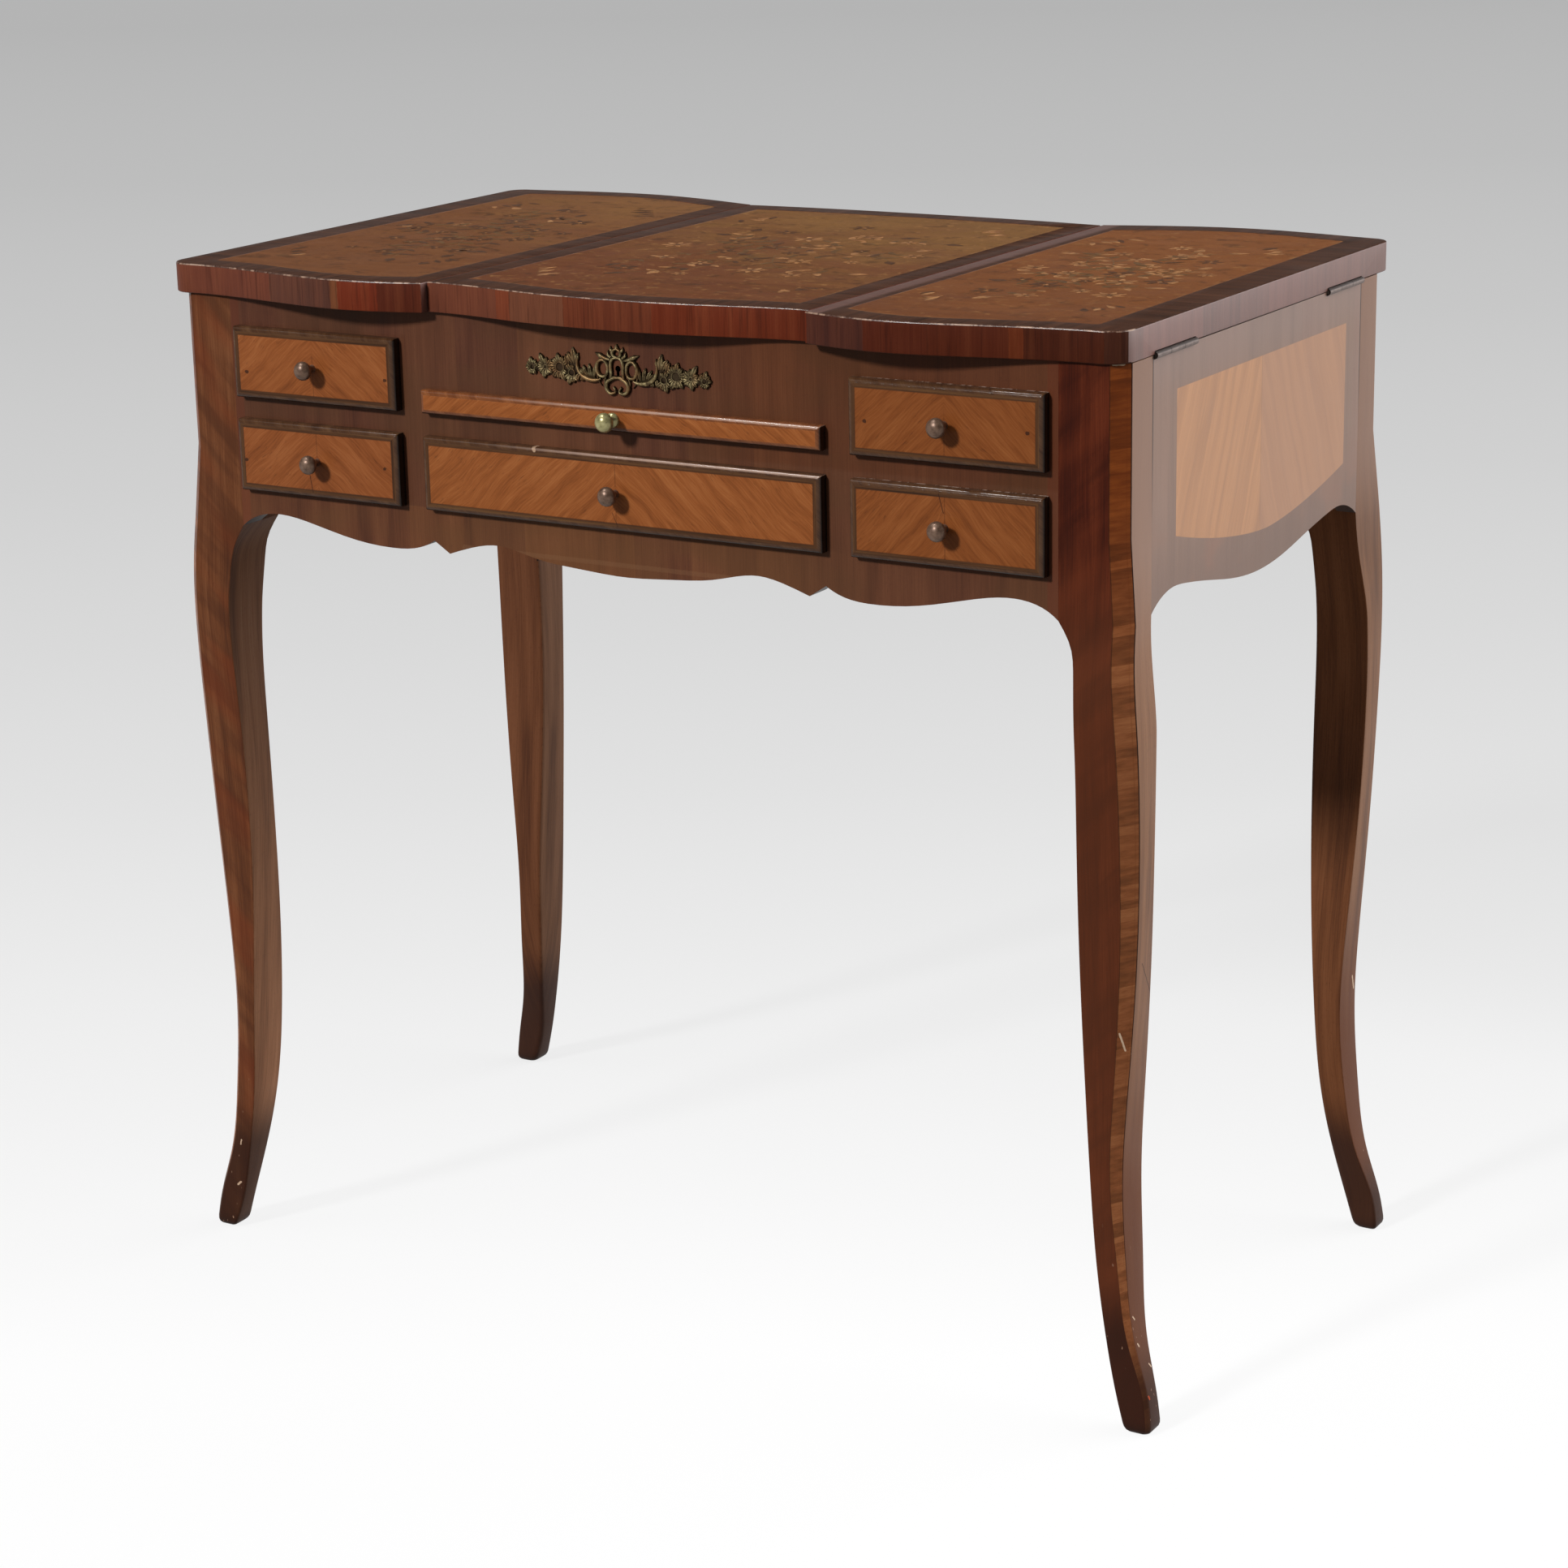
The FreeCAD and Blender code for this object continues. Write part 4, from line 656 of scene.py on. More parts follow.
def make_field_ground(name, seed, front_tone, back_tone, light, dark):
    """The ground of the marquetry: cloudy brown, from one tone at the front left to another at the back
    right, blotched light and dark, with a thin pale line here and there along its edge.
    """
    finish = Finish(name, gloss=0.03)
    x, y = finish.x, finish.y
    colour, pore = finish.veneer(y, x, GROUND, band=0.02, seed=seed)
    rise = y * 1.6 + x * 0.7 + finish.cloud(0.06, detail=4.0, roughness=0.62) * 0.9
    tone = finish.mix(screen(*front_tone), screen(*back_tone), rise.step(0.15, 0.80))
    colour = colour.mix(tone, 0.62)
    for size, low, high, share, tone in ((0.016, 0.54, 0.70, dark, (62, 38, 21)),
                                         (0.009, 0.56, 0.72, light, (148, 106, 62)),
                                         (0.005, 0.58, 0.72, dark * 0.7, (60, 38, 22))):
        spots = finish.noise(finish.join(x, y, size * 9), (size, size * 0.8, size), detail=3.0,
                             roughness=0.6, distortion=0.8)
        colour = colour.tint(tone, spots.step(low, high) * share)
    line = abs(finish.attribute("from_edge") - 0.001).step(0.0006, 0.0003)
    colour = colour.tint((150, 112, 78), line * finish.cloud(0.03).step(0.46, 0.62) * 0.4)
    return finish.polished(colour, pore, base=0.36)


def make_inlay(name, tones, seed):
    """A cut piece of the marquetry, shaded darker towards one end as if scorched in hot sand, and worn
    in blotches to the colour of the ground.
    """
    finish = Finish(name, gloss=0.03)
    colour, pore = finish.veneer(finish.x, finish.y, tones, band=0.005, seed=seed)
    colour = colour.tint((80, 50, 28), finish.attribute("scorch").step(0.35, 1.0) * 0.55)
    mottle = finish.cloud(0.005, detail=4.0, roughness=0.7).step(0.44, 0.60)
    return finish.polished(colour.tint((100, 61, 33), mottle * 0.55), pore)


def make_oak(name, sideways, seed):
    """Plain wood of the insides, bare and planed, the grain from side to side or from front to back."""
    finish = Finish(name)
    across, along = (finish.y, finish.x) if sideways else (finish.x, finish.y)
    colour, pore = finish.veneer(finish.z * 0.7 + across, along, OAK, band=0.014, seed=seed)
    return finish.polished(colour, pore, base=0.52, relief=0.0001)


def make_metal(name, tones, roughness, metallic, relief=0.00012, painted_shade_depths=None, patches=None):
    """Cast or turned metal: a mottled patina over the bare colour, with painted shade in the hollows where
    given.
    """
    finish = Finish(name, metallic=metallic, gloss=0.3)
    spots = finish.cloud(0.0035, detail=4.0, roughness=0.65)
    colour = spots.tones(tones, 0.3, 0.7)
    if patches:
        colour = colour.tint(patches, finish.cloud(0.012).step(0.5, 0.64) * 0.6)
    # Painted shade: parts deeper than the given depths, near the panel, take the dark tone.
    if painted_shade_depths:
        colour = colour.tint(tones[0], finish.y.step(*painted_shade_depths))
    return finish.surface(colour, spots * 0.22 + (roughness - 0.11), spots, relief)


def make_hinge_metal():
    """The hinges: brass gone dull lilac grey, with painted shade dark on top of the barrel and black on its
    ends.
    """
    finish = Finish("hinge_brass", metallic=0.3, gloss=0.3)
    spots = finish.cloud(0.004, detail=4.0, roughness=0.65)
    # Painted shade on the top of the barrel and on its ends.
    dark = finish.nz.step(0.25, 0.6) | abs(finish.ny).step(0.6, 0.8)
    colour = spots.tones(HINGE_BRASS, 0.3, 0.7).tint((42, 32, 28), dark * 0.85)
    return finish.surface(colour, spots * 0.2 + 0.40, spots, 0.0001)


def make_mirror():
    """Silvered glass with a few foxed specks."""
    finish = Finish("mirror_silver", metallic=1.0)
    specks = finish.cloud(0.006, detail=5.0, roughness=0.75).step(0.68, 0.74)
    finish.set(base_color=finish.mix(screen(222, 226, 226), screen(96, 88, 78), specks),
               roughness=specks * 0.4 + 0.03)
    return finish.material


# Meshes

def grid_faces(rows, columns, closed):
    """Quads between the points of a grid; closed joins the last column to the first."""
    row = np.arange(rows - 1)[:, None]
    column = np.arange(columns if closed else columns - 1)[None, :]
    following = (column + 1) % columns
    corners = [row * columns + column, row * columns + following, (row + 1) * columns + following,
               (row + 1) * columns + column]
    return np.stack(np.broadcast_arrays(*corners), axis=-1).reshape(-1, 4)


def tube(rings):
    """A closed skin from an array of rings (ring, point, xyz), with a flat cap at each end."""
    count, around = rings.shape[:2]
    faces = [list(face) for face in grid_faces(count, around, True)]
    faces.append(list(range(around))[::-1])
    faces.append(list(range((count - 1) * around, count * around)))
    return rings.reshape(-1, 3), faces


def outward(points, faces):
    """The faces turned so that the skin's signed volume is positive."""
    volume = 0.0
    for size in {len(face) for face in faces}:
        group = np.array([face for face in faces if len(face) == size])
        first = points[group[:, 0]]
        for index in range(1, size - 1):
            crossed = np.cross(points[group[:, index]], points[group[:, index + 1]])
            volume += float((first * crossed).sum())
    return faces if volume > 0 else [face[::-1] for face in faces]


def place_piece(mesh, body, materials, smooth, replaces):
    """Make a mesh a piece: dress it, smooth it up to an angle and let it ride on a body of the frame."""
    for material in materials:
        mesh.materials.append(material)
    mesh.polygons.foreach_set("use_smooth", np.ones(len(mesh.polygons), dtype=bool))
    mesh.update()
    mesh.set_sharp_from_angle(angle=math.radians(smooth))
    item = show(mesh.name, mesh)
    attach(item, body)
    if replaces:
        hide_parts(*replaces)


class Skins:
    """Closed skins gathered into one piece, with a material number for each face and an attribute."""

    def __init__(self):
        self.points, self.faces, self.kinds, self.values, self.count = [], [], [], [], 0

    def add(self, points, faces, kinds=0, values=0.0):
        """Add one closed skin; kinds is one material number or one for each face."""
        faces = outward(points, [[int(index) for index in face] for face in faces])
        self.points.append(points)
        self.faces += [[index + self.count for index in face] for face in faces]
        self.kinds += np.broadcast_to(kinds, len(faces)).tolist()
        self.values.append(np.broadcast_to(values, len(points)))
        self.count += len(points)
        return self

    def piece(self, name, body, slot, materials, attribute=None, smooth=35.0, replaces=()):
        """Make the mesh of the skins and place it."""
        mesh = bpy.data.meshes.new(name)
        mesh.from_pydata((np.concatenate(self.points) * MM).tolist(), [], self.faces)
        mesh.polygons.foreach_set("material_index", np.array(self.kinds, dtype=np.int32))
        if attribute:
            layer = mesh.attributes.new(attribute, "FLOAT", "POINT")
            layer.data.foreach_set("value", np.concatenate(self.values).astype(np.float32))
        place_piece(mesh, body, materials, smooth, replaces)


def spline(knots, values, at):
    """A natural cubic spline through the values, read at the given places."""
    knots, values, at = (np.asarray(item, float) for item in (knots, values, at))
    values = values.reshape(len(knots), -1)
    gaps = np.diff(knots)
    slopes = np.diff(values, axis=0) / gaps[:, None]
    system = np.eye(len(knots))
    inner = np.arange(1, len(knots) - 1)
    system[inner, inner] = 2 * (gaps[:-1] + gaps[1:])
    system[inner, inner - 1] = gaps[:-1]
    system[inner, inner + 1] = gaps[1:]
    right = np.zeros_like(values)
    right[1:-1] = 6 * np.diff(slopes, axis=0)
    bends = np.linalg.solve(system, right)
    cell = np.clip(np.searchsorted(knots, at) - 1, 0, len(knots) - 2)
    gap = gaps[cell][:, None]
    low, high = (knots[cell + 1] - at)[:, None], (at - knots[cell])[:, None]
    return (bends[cell] * low ** 3 + bends[cell + 1] * high ** 3) / (6 * gap) \
        + (values[cell] / gap - bends[cell] * gap / 6) * low \
        + (values[cell + 1] / gap - bends[cell + 1] * gap / 6) * high


def curve_through(points, count):
    """A smooth line through points, even in its own length."""
    points = np.asarray(points, float)
    lengths = np.concatenate([[0], np.cumsum(np.linalg.norm(np.diff(points, axis=0), axis=1))])
    return spline(lengths, points, np.linspace(0, lengths[-1], count))


def eased_corners(corners, radii, steps=4):
    """A closed outline with each corner rounded: between the two points a radius away from the corner,
    the arc is the quadratic curve that the corner pulls. Corners are (row, corner, xy).
    """
    before = np.roll(corners, 1, axis=1) - corners
    after = np.roll(corners, -1, axis=1) - corners
    start = corners + before / np.linalg.norm(before, axis=2, keepdims=True) * radii[..., None]
    end = corners + after / np.linalg.norm(after, axis=2, keepdims=True) * radii[..., None]
    share = np.linspace(0, 1, steps + 1)[None, None, :, None]
    arc = start[:, :, None] * (1 - share) ** 2 + corners[:, :, None] * 2 * share * (1 - share) \
        + end[:, :, None] * share ** 2
    return arc.reshape(corners.shape[0], -1, 2)


# Legs

def leg_rows():
    """Heights of the leg's rows, with its five corners at each, for the back right leg. Below the knee
    each face follows a spline through the table of shares, and above it the post is straight.
    """
    shaft = np.concatenate([[0.0, 0.0006, 0.0018, 0.0040, 0.0075], np.linspace(0.012, 1.0, 90)])
    table = spline(LEG_SHARES[:, 0], LEG_SHARES[:, 1:], shaft)
    heights = np.concatenate([shaft * KNEE_HEIGHT, [POST_START, CASE_TOP]])
    table = np.concatenate([table, [[0, 0, 0, 0, 1.0], [0, 0, 0, 0, 1.0]]])
    outer_x = HALF_WIDTH + table[:, 0] * FOOT_KICK
    outer_y = HALF_DEPTH + table[:, 1] * FOOT_KICK
    inner_x = POST_X + table[:, 2] * POST_WIDTH
    inner_y = POST_Y + table[:, 3] * POST_DEPTH
    cant = table[:, 4] * CORNER_CANT
    for limits, sign in ((outer_x, -1), (outer_y, -1), (inner_x, 1), (inner_y, 1)):
        limits[:len(SOLE_ROUNDING)] += sign * SOLE_ROUNDING
    free = np.clip((FLUSH_START - heights) / FLUSH_REACH, 0, 1)
    free = free * free * (3 - 2 * free)
    flush_x = HALF_WIDTH + (outer_x - HALF_WIDTH) * free
    flush_y = HALF_DEPTH + (outer_y - HALF_DEPTH) * free
    corners = np.stack([np.stack(pair, axis=-1) for pair in
                        ((inner_x, inner_y), (flush_x, inner_y), (outer_x, outer_y - cant),
                         (outer_x - cant, outer_y), (inner_x, flush_y))], axis=1)
    below = np.clip((KNEE_HEIGHT - heights) / EDGE_REACH, 0, 1)
    near_foot = np.clip((FOOT_REACH - heights) / FOOT_REACH, 0, 1) ** 1.5
    inmost = 0.3 + 2.7 * below + 2.0 * near_foot
    face_edge = 0.12 + 1.0 * below + 1.6 * near_foot
    canted = np.minimum(0.6 + 1.2 * near_foot, 0.62 * cant)
    radii = np.stack([inmost, face_edge, canted, canted, face_edge], axis=1)
    return heights, corners, radii


def make_legs(veneers, strip, inner, side_faces):
    """Four legs, mirror images of one that lean a little each its own way, each face with its own finish.
    The strip on the canted corner carries its place across, from -1 beside the side face to 1 beside the
    front.
    """
    heights, corners, radii = leg_rows()
    outline = eased_corners(corners, radii)
    lean = np.clip(1 - heights / KNEE_HEIGHT, 0, 1) ** 1.3
    # The outline's points 12 to 17 lie across the strip
    steps = np.linalg.norm(np.diff(outline[:, 12:18], axis=1), axis=2)
    beside = np.zeros(outline.shape[:2])
    beside[:, 13:18] = np.cumsum(steps, axis=1) / steps.sum(axis=1, keepdims=True)
    beside = beside * 2 - 1
    face_kind, strip_kind, inner_kind, side_kind = range(4)
    kinds_around = np.full(outline.shape[1], inner_kind)
    kinds_around[7:12] = side_kind
    kinds_around[12:17] = strip_kind
    kinds_around[17:22] = face_kind
    kinds = np.concatenate([np.tile(kinds_around, len(heights) - 1), [inner_kind, inner_kind]])
    for place, (lean_x, lean_y) in LEG_LEANS.items():
        name = f"leg_{place}"
        depth, side = (-1 if word in place else 1 for word in ("front", "left"))
        rings = np.empty((*outline.shape[:2], 3))
        rings[..., 0] = outline[..., 0] * side + (lean_x * lean)[:, None]
        rings[..., 1] = outline[..., 1] * depth + (lean_y * lean)[:, None]
        rings[..., 2] = heights[:, None]
        Skins().add(*tube(rings), kinds, beside.ravel()).piece(
            f"{name}_shaped", "case", "kingwood", [veneers[name], strip, inner, side_faces],
            attribute="beside", smooth=28.0, replaces=(name,))


# Drawer fronts

def front_rings(levels):
    """Rings of a block seen from the front: each level gives x from and to, z from and to, y and the
    radius of its corners.
    """
    levels = np.array(levels, float)
    x0, x1, z0, z1, y, radius = levels.T
    corners = np.array(((x0, z0), (x1, z0), (x1, z1), (x0, z1))).transpose(2, 0, 1)
    outline = eased_corners(corners, np.repeat(radius[:, None], 4, axis=1))
    rings = np.empty((*outline.shape[:2], 3))
    rings[..., 0], rings[..., 2] = outline[..., 0], outline[..., 1]
    rings[..., 1] = y[:, None]
    return rings


def make_front(node, body, slot, materials, back, plug):
    """A front with a rounded edge, and the plug behind its lip where it has one. The edge is a quarter
    circle carried round the front.
    """
    low, high = (np.array(corner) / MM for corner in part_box(node))
    rounding, corner = 3.2, 1.1
    turns = np.linspace(0, math.pi / 2, 7)
    levels = []
    for inset, depth in zip(rounding * (1 - np.sin(turns)), rounding * (1 - np.cos(turns))):
        levels.append((low[0] + inset, high[0] - inset, low[2] + inset, high[2] - inset, FACE_Y + depth,
                       max(0.25, corner - inset * 0.26)))
    levels.append((low[0], high[0], low[2], high[2], back, corner))
    if plug:
        levels += [(*plug, PLUG_FOOT, PLUG_TOP, back, 0.2), (*plug, PLUG_FOOT, PLUG_TOP, PLUG_BACK, 0.2)]
    points, faces = tube(front_rings(levels))
    # All is edge but for the cap of the first ring, which is the face of the front
    kinds = np.ones(len(faces), int)
    kinds[-2] = 0
    Skins().add(points, faces, kinds).piece(f"{node}_banded", body, slot, materials, smooth=40.0,
                                            replaces=(node,))


# Backs of the lips and of the plugs behind them, and the heights between which the plugs lie
LIP_BACK, PLUG_BACK, PLUG_FOOT, PLUG_TOP, OPENING_GAP = -206.75, -192.75, 577.9, 618.7, 0.8
SIDE_PLUG, CENTRE_PLUG = (180.9 + OPENING_GAP, 311.6 - OPENING_GAP), 143 - OPENING_GAP

# Fronts: node, body, back, plug from and to, slant of the grain in degrees, seed, tint
FRONTS = (("false_front_left", "case", -HALF_DEPTH, None, 38.0, 1.0, (1.0, 1.0, 1.0)),
          ("false_front_right", "case", -HALF_DEPTH, None, 42.0, 2.0, (0.80, 0.78, 0.70)),
          ("left_drawer_front", "left_drawer", LIP_BACK, (-SIDE_PLUG[1], -SIDE_PLUG[0]), 40.0, 3.0,
           (0.95, 0.94, 0.97)),
          ("right_drawer_front", "right_drawer", LIP_BACK, SIDE_PLUG, 46.0, 4.0, (0.84, 0.83, 0.76)),
          ("centre_drawer_front", "centre_drawer", LIP_BACK, (-CENTRE_PLUG, CENTRE_PLUG), 42.0, 5.0,
           (1.03, 1.05, 1.02)),
          ("slide_front", "slide", LIP_BACK, None, 35.0, 6.0, (1.11, 1.12, 1.06)))


def make_all_fronts():
    """Four small fronts, the centre drawer's and the slide's, each with its own match of veneer."""
    edge = make_front_edge("front_edge_banding", ((58, 36, 23), (78, 51, 33), (92, 64, 42)))
    slide_edge = make_front_edge("slide_edge", ((92, 50, 27), (118, 68, 38), (140, 86, 50)))
    for node, body, back, plug, slant, seed, tint in FRONTS:
        of_slide = body == "slide"
        veneer = make_front_finish(node, 0.0012 if of_slide else 0.0056, slant, seed, tint)
        make_front(node, body, "tulipwood", [veneer, slide_edge if of_slide else edge], back, plug)


# Knobs

def turned_knob(x, z, collar):
    """A knob turned about a line along Y: a foot or a wider collar, a short neck and a cap with a round
    dome, half an ellipse. The profile, radius against distance from the face, is carried round the line.
    """
    foot = [(0.0, 4.9), (1.2, 5.0), (2.2, 4.6), (2.9, 3.4)] if collar else [(0.0, 2.8), (1.4, 2.7)]
    stem = foot + [(3.8, 2.6), (5.0, 2.5), (6.0, 2.9), (6.8, 3.8), (7.6, 5.0), (8.6, 6.0), (9.6, 6.5)]
    dome = [(10.6 + 5.1 * math.sin(turn), 6.6 * math.cos(turn)) for turn in np.linspace(0.0, 1.53, 13)]
    profile = np.array(stem + dome)
    around = np.linspace(0, 2 * math.pi, 36, endpoint=False)
    rings = np.empty((len(profile), len(around), 3))
    rings[..., 0] = x + profile[:, 1, None] * np.cos(around)
    rings[..., 1] = FACE_Y - profile[:, 0, None]
    rings[..., 2] = z + profile[:, 1, None] * np.sin(around)
    return tube(rings)


def make_knobs(dark, pale):
    """The knobs of the fixed fronts, the drawers and the slide."""
    rows = [("false_front", "case", ("false_front_left", "false_front_right"))]
    for body in ("left_drawer", "centre_drawer", "right_drawer", "slide"):
        rows.append((body, body, (f"{body}_front",)))
    for start, body, fronts in rows:
        of_slide = body == "slide"
        node = f"{start}_knobs" if body == "case" else f"{start}_knob"
        skins = Skins()
        for front in fronts:
            middle, _ = front_limits(front)
            skins.add(*turned_knob(middle[0] / MM, middle[1] / MM, of_slide))
        skins.piece(f"{node}_turned", body, "pale_brass" if of_slide else "dark_brass",
                    [pale if of_slide else dark], smooth=50.0, replaces=(node,))


# Keyhole mount

def across_path(path):
    """The ways square to a flat path at its points."""
    direction = np.gradient(path, axis=0)
    direction /= np.linalg.norm(direction, axis=1, keepdims=True)
    return np.stack([-direction[:, 1], direction[:, 0]], axis=1)


def rib(points, widths, heights, groove, base=-206.46, steps=16):
    """A cast rib that lies on the panel: a half round, as wide and as high as given, with a hollow of a
    given share of its height along the middle, carried along a smooth line, with a flat back.
    """
    path = curve_through(points, steps)
    share = np.linspace(0, 1, steps)
    width, height = (np.interp(share, np.linspace(0, 1, len(sizes)), sizes) for sizes in (widths, heights))
    side = across_path(path)
    turns = np.linspace(0, math.pi, 11)
    rings = np.empty((steps, len(turns), 3))
    offset = np.cos(turns)[None, :] * width[:, None]
    for axis, way in ((0, 0), (2, 1)):
        rings[..., axis] = path[:, way, None] + side[:, way, None] * offset
    section = np.sin(turns) ** 0.8 * (1 - groove * np.exp(-(np.cos(turns) / 0.32) ** 2))
    rings[..., 1] = base - section[None, :] * height[:, None]
    return tube(rings)


# Right half of the mount: points from the keyhole's middle, half widths, heights
MOUNT_RIBS = (
    # Rim of the keyhole
    (((0, 7.4), (3.2, 6.6), (4.9, 3.0), (4.7, -2.4), (5.0, -6.2)), (1.0, 1.3, 1.3, 1.2), (2.4, 2.8, 2.4)),
    # Crown above it, with its tip and its leaves
    (((0, 7.8), (2.6, 8.8), (3.0, 11.4), (0, 13.4)), (0.9, 1.2, 1.2, 0.9), (2.2, 2.9, 2.6)),
    (((0, 13.0), (0.2, 14.8), (0, 16.4)), (1.7, 1.4, 0.2), (2.6, 2.2, 1.0)),
    (((2.8, 11.6), (4.4, 12.6), (4.8, 14.8)), (1.2, 1.3, 0.3), (2.4, 2.4, 1.2)),
    (((4.4, 7.4), (6.6, 9.2), (6.8, 12.0)), (1.2, 1.3, 0.3), (2.2, 2.4, 1.2)),
    (((5.6, 5.8), (9.4, 6.8), (13.0, 8.2), (17.2, 9.8)), (1.0, 1.5, 1.8, 0.3), (2.0, 2.6, 2.6, 1.0)),
    # Oval beside the keyhole
    (((7.2, -1.0), (8.0, 3.4), (11.6, 5.6), (15.2, 3.0), (15.6, -1.4), (12.8, -5.4), (9.2, -5.2),
      (7.2, -1.0)),
     (1.1, 1.3, 1.5, 1.4, 1.2), (2.2, 3.0, 3.0, 2.4)),
    (((15.4, -1.6), (15.4, -6.4), (12.2, -12.0)), (0.7, 0.8, 0.3), (1.6, 1.8, 1.0)),
    # Scrolls below the keyhole
    (((1.2, -5.8), (5.2, -7.2), (8.6, -10.2), (7.8, -14.4), (4.2, -16.4), (1.4, -14.8), (3.2, -12.0)),
     (1.2, 1.6, 1.6, 1.4, 0.8), (2.2, 3.0, 3.0, 2.0)),
    (((0.0, -5.8), (2.4, -5.8), (5.0, -6.6)), (1.3, 1.4, 1.2), (2.4, 2.4, 2.2)),
    (((9.0, -6.0), (9.8, -9.6), (8.8, -13.6)), (0.9, 0.8, 0.3), (2.0, 1.8, 1.0)),
    # Crescent from which the wing springs
    (((12.6, -7.2), (16.6, -8.4), (22.0, -8.2), (27.2, -6.0), (30.8, -1.0), (31.0, 5.0), (30.2, 8.8)),
     (0.8, 1.7, 2.0, 1.6, 1.0, 0.3), (2.2, 3.2, 3.3, 2.6, 1.4)),
)

# Low ground that joins the wing's leaves: points, half widths
MOUNT_GROUND = (((31.0, -1.5), (37.6, -2.0), (45.0, -2.4), (52.0, -3.0), (60.0, -3.2), (68.0, -3.0)),
                (3.4, 6.4, 6.4, 4.8, 3.6, 2.0))

# Leaves of the right half: root, heading in degrees, length, half width
MOUNT_LEAVES = (
    # Between the oval and the crescent
    ((18.4, -7.0), 104, 8.6, 1.5), ((20.6, -7.2), 86, 9.4, 1.7), ((22.8, -6.8), 68, 8.6, 1.6),
    ((25.0, -5.8), 52, 6.2, 1.4),
    # Upright at the wing's root
    ((33.2, 1.6), 86, 10.6, 2.3), ((32.4, 2.4), 112, 6.2, 1.6), ((34.8, 1.8), 62, 8.0, 2.1),
    ((38.4, 1.0), 74, 6.4, 1.9),
    # Below the crescent
    ((27.0, -6.6), -74, 3.6, 1.6), ((30.2, -5.4), -62, 5.0, 1.8),
)

# Holes of the wing: middle, radius of the rim, then heading, length and half width of each leaf round it
MOUNT_HOLES = (
    ((45.4, -1.8), 3.3, ((16, 5.2, 1.8), (50, 4.4, 1.9), (82, 6.2, 2.0), (112, 4.6, 1.9), (146, 4.8, 1.8),
                         (-20, 3.6, 1.8), (-52, 5.8, 1.9), (-84, 4.6, 2.0), (-112, 6.4, 2.0),
                         (-146, 3.6, 1.7))),
    ((36.0, -5.0), 2.5, ((-38, 4.2, 1.8), (-70, 6.0, 2.0), (-104, 4.4, 1.9), (-138, 5.2, 1.7),
                         (64, 4.6, 1.8), (104, 3.4, 1.6))),
    ((56.8, -2.6), 1.5, ((66, 8.6, 2.1), (100, 5.2, 1.8), (138, 6.0, 1.8), (30, 5.2, 1.9), (-8, 5.4, 1.8),
                         (-44, 5.0, 1.8), (-78, 6.2, 1.9), (-112, 4.4, 1.8), (-148, 5.4, 1.8),
                         (176, 4.8, 1.7))),
    ((67.2, -3.4), 2.0, ((6, 3.6, 1.5), (42, 3.4, 1.6), (80, 5.0, 1.8), (118, 3.8, 1.6), (152, 3.6, 1.6),
                         (-34, 2.8, 1.4), (-70, 3.0, 1.5), (-120, 3.0, 1.5))),
)


def turned(length, degrees):
    """A flat step of a length in a direction."""
    angle = math.radians(degrees)
    return np.array([math.cos(angle), math.sin(angle)]) * length


def cast_leaf(root, heading, length, width):
    """A blunt leaf with a hollow along it, curling a little at its tip."""
    curl = turned(0.10 * length * (1 if heading % 2 else -1), heading + 90)
    points = [np.array(root) + turned(length * share, heading) + curl * share ** 2
              for share in (0.0, 0.4, 0.75, 1.0)]
    return points, (0.7 * width, width, width, 0.3 * width), (1.7, 2.5, 2.7, 1.2), 0.42


def mount_ribs():
    """All ribs of the right half: those of the tables, the rims of the holes and the leaves round them."""
    ribs = [(*rib_row, 0.0) for rib_row in MOUNT_RIBS]
    ribs.append((*MOUNT_GROUND, (0.9, 0.9), 0.0))
    ribs += [cast_leaf(*leaf) for leaf in MOUNT_LEAVES]
    for middle, radius, leaves in MOUNT_HOLES:
        rim = [np.array(middle) + turned(radius, degrees) for degrees in range(0, 361, 45)]
        ribs.append((rim, (0.8, 0.8), (1.6, 1.6), 0.0))
        ribs += [cast_leaf(np.array(middle) + turned(radius, leaf[0]), *leaf) for leaf in leaves]
    return ribs


def make_mount(material):
    """The gilt mount round the keyhole: cast ribs, scrolls and leaves, the same on both sides."""
    skins = Skins()
    for points, widths, heights, groove in mount_ribs():
        for side in (-1, 1):
            placed = [(x * side, z + KEYHOLE_Z) for x, z in points]
            skins.add(*rib(placed, widths, heights, groove))
    skins.piece("keyhole_mount_cast", "case", "gilt_brass", [material], smooth=60.0,
                replaces=("escutcheon",))


# Top

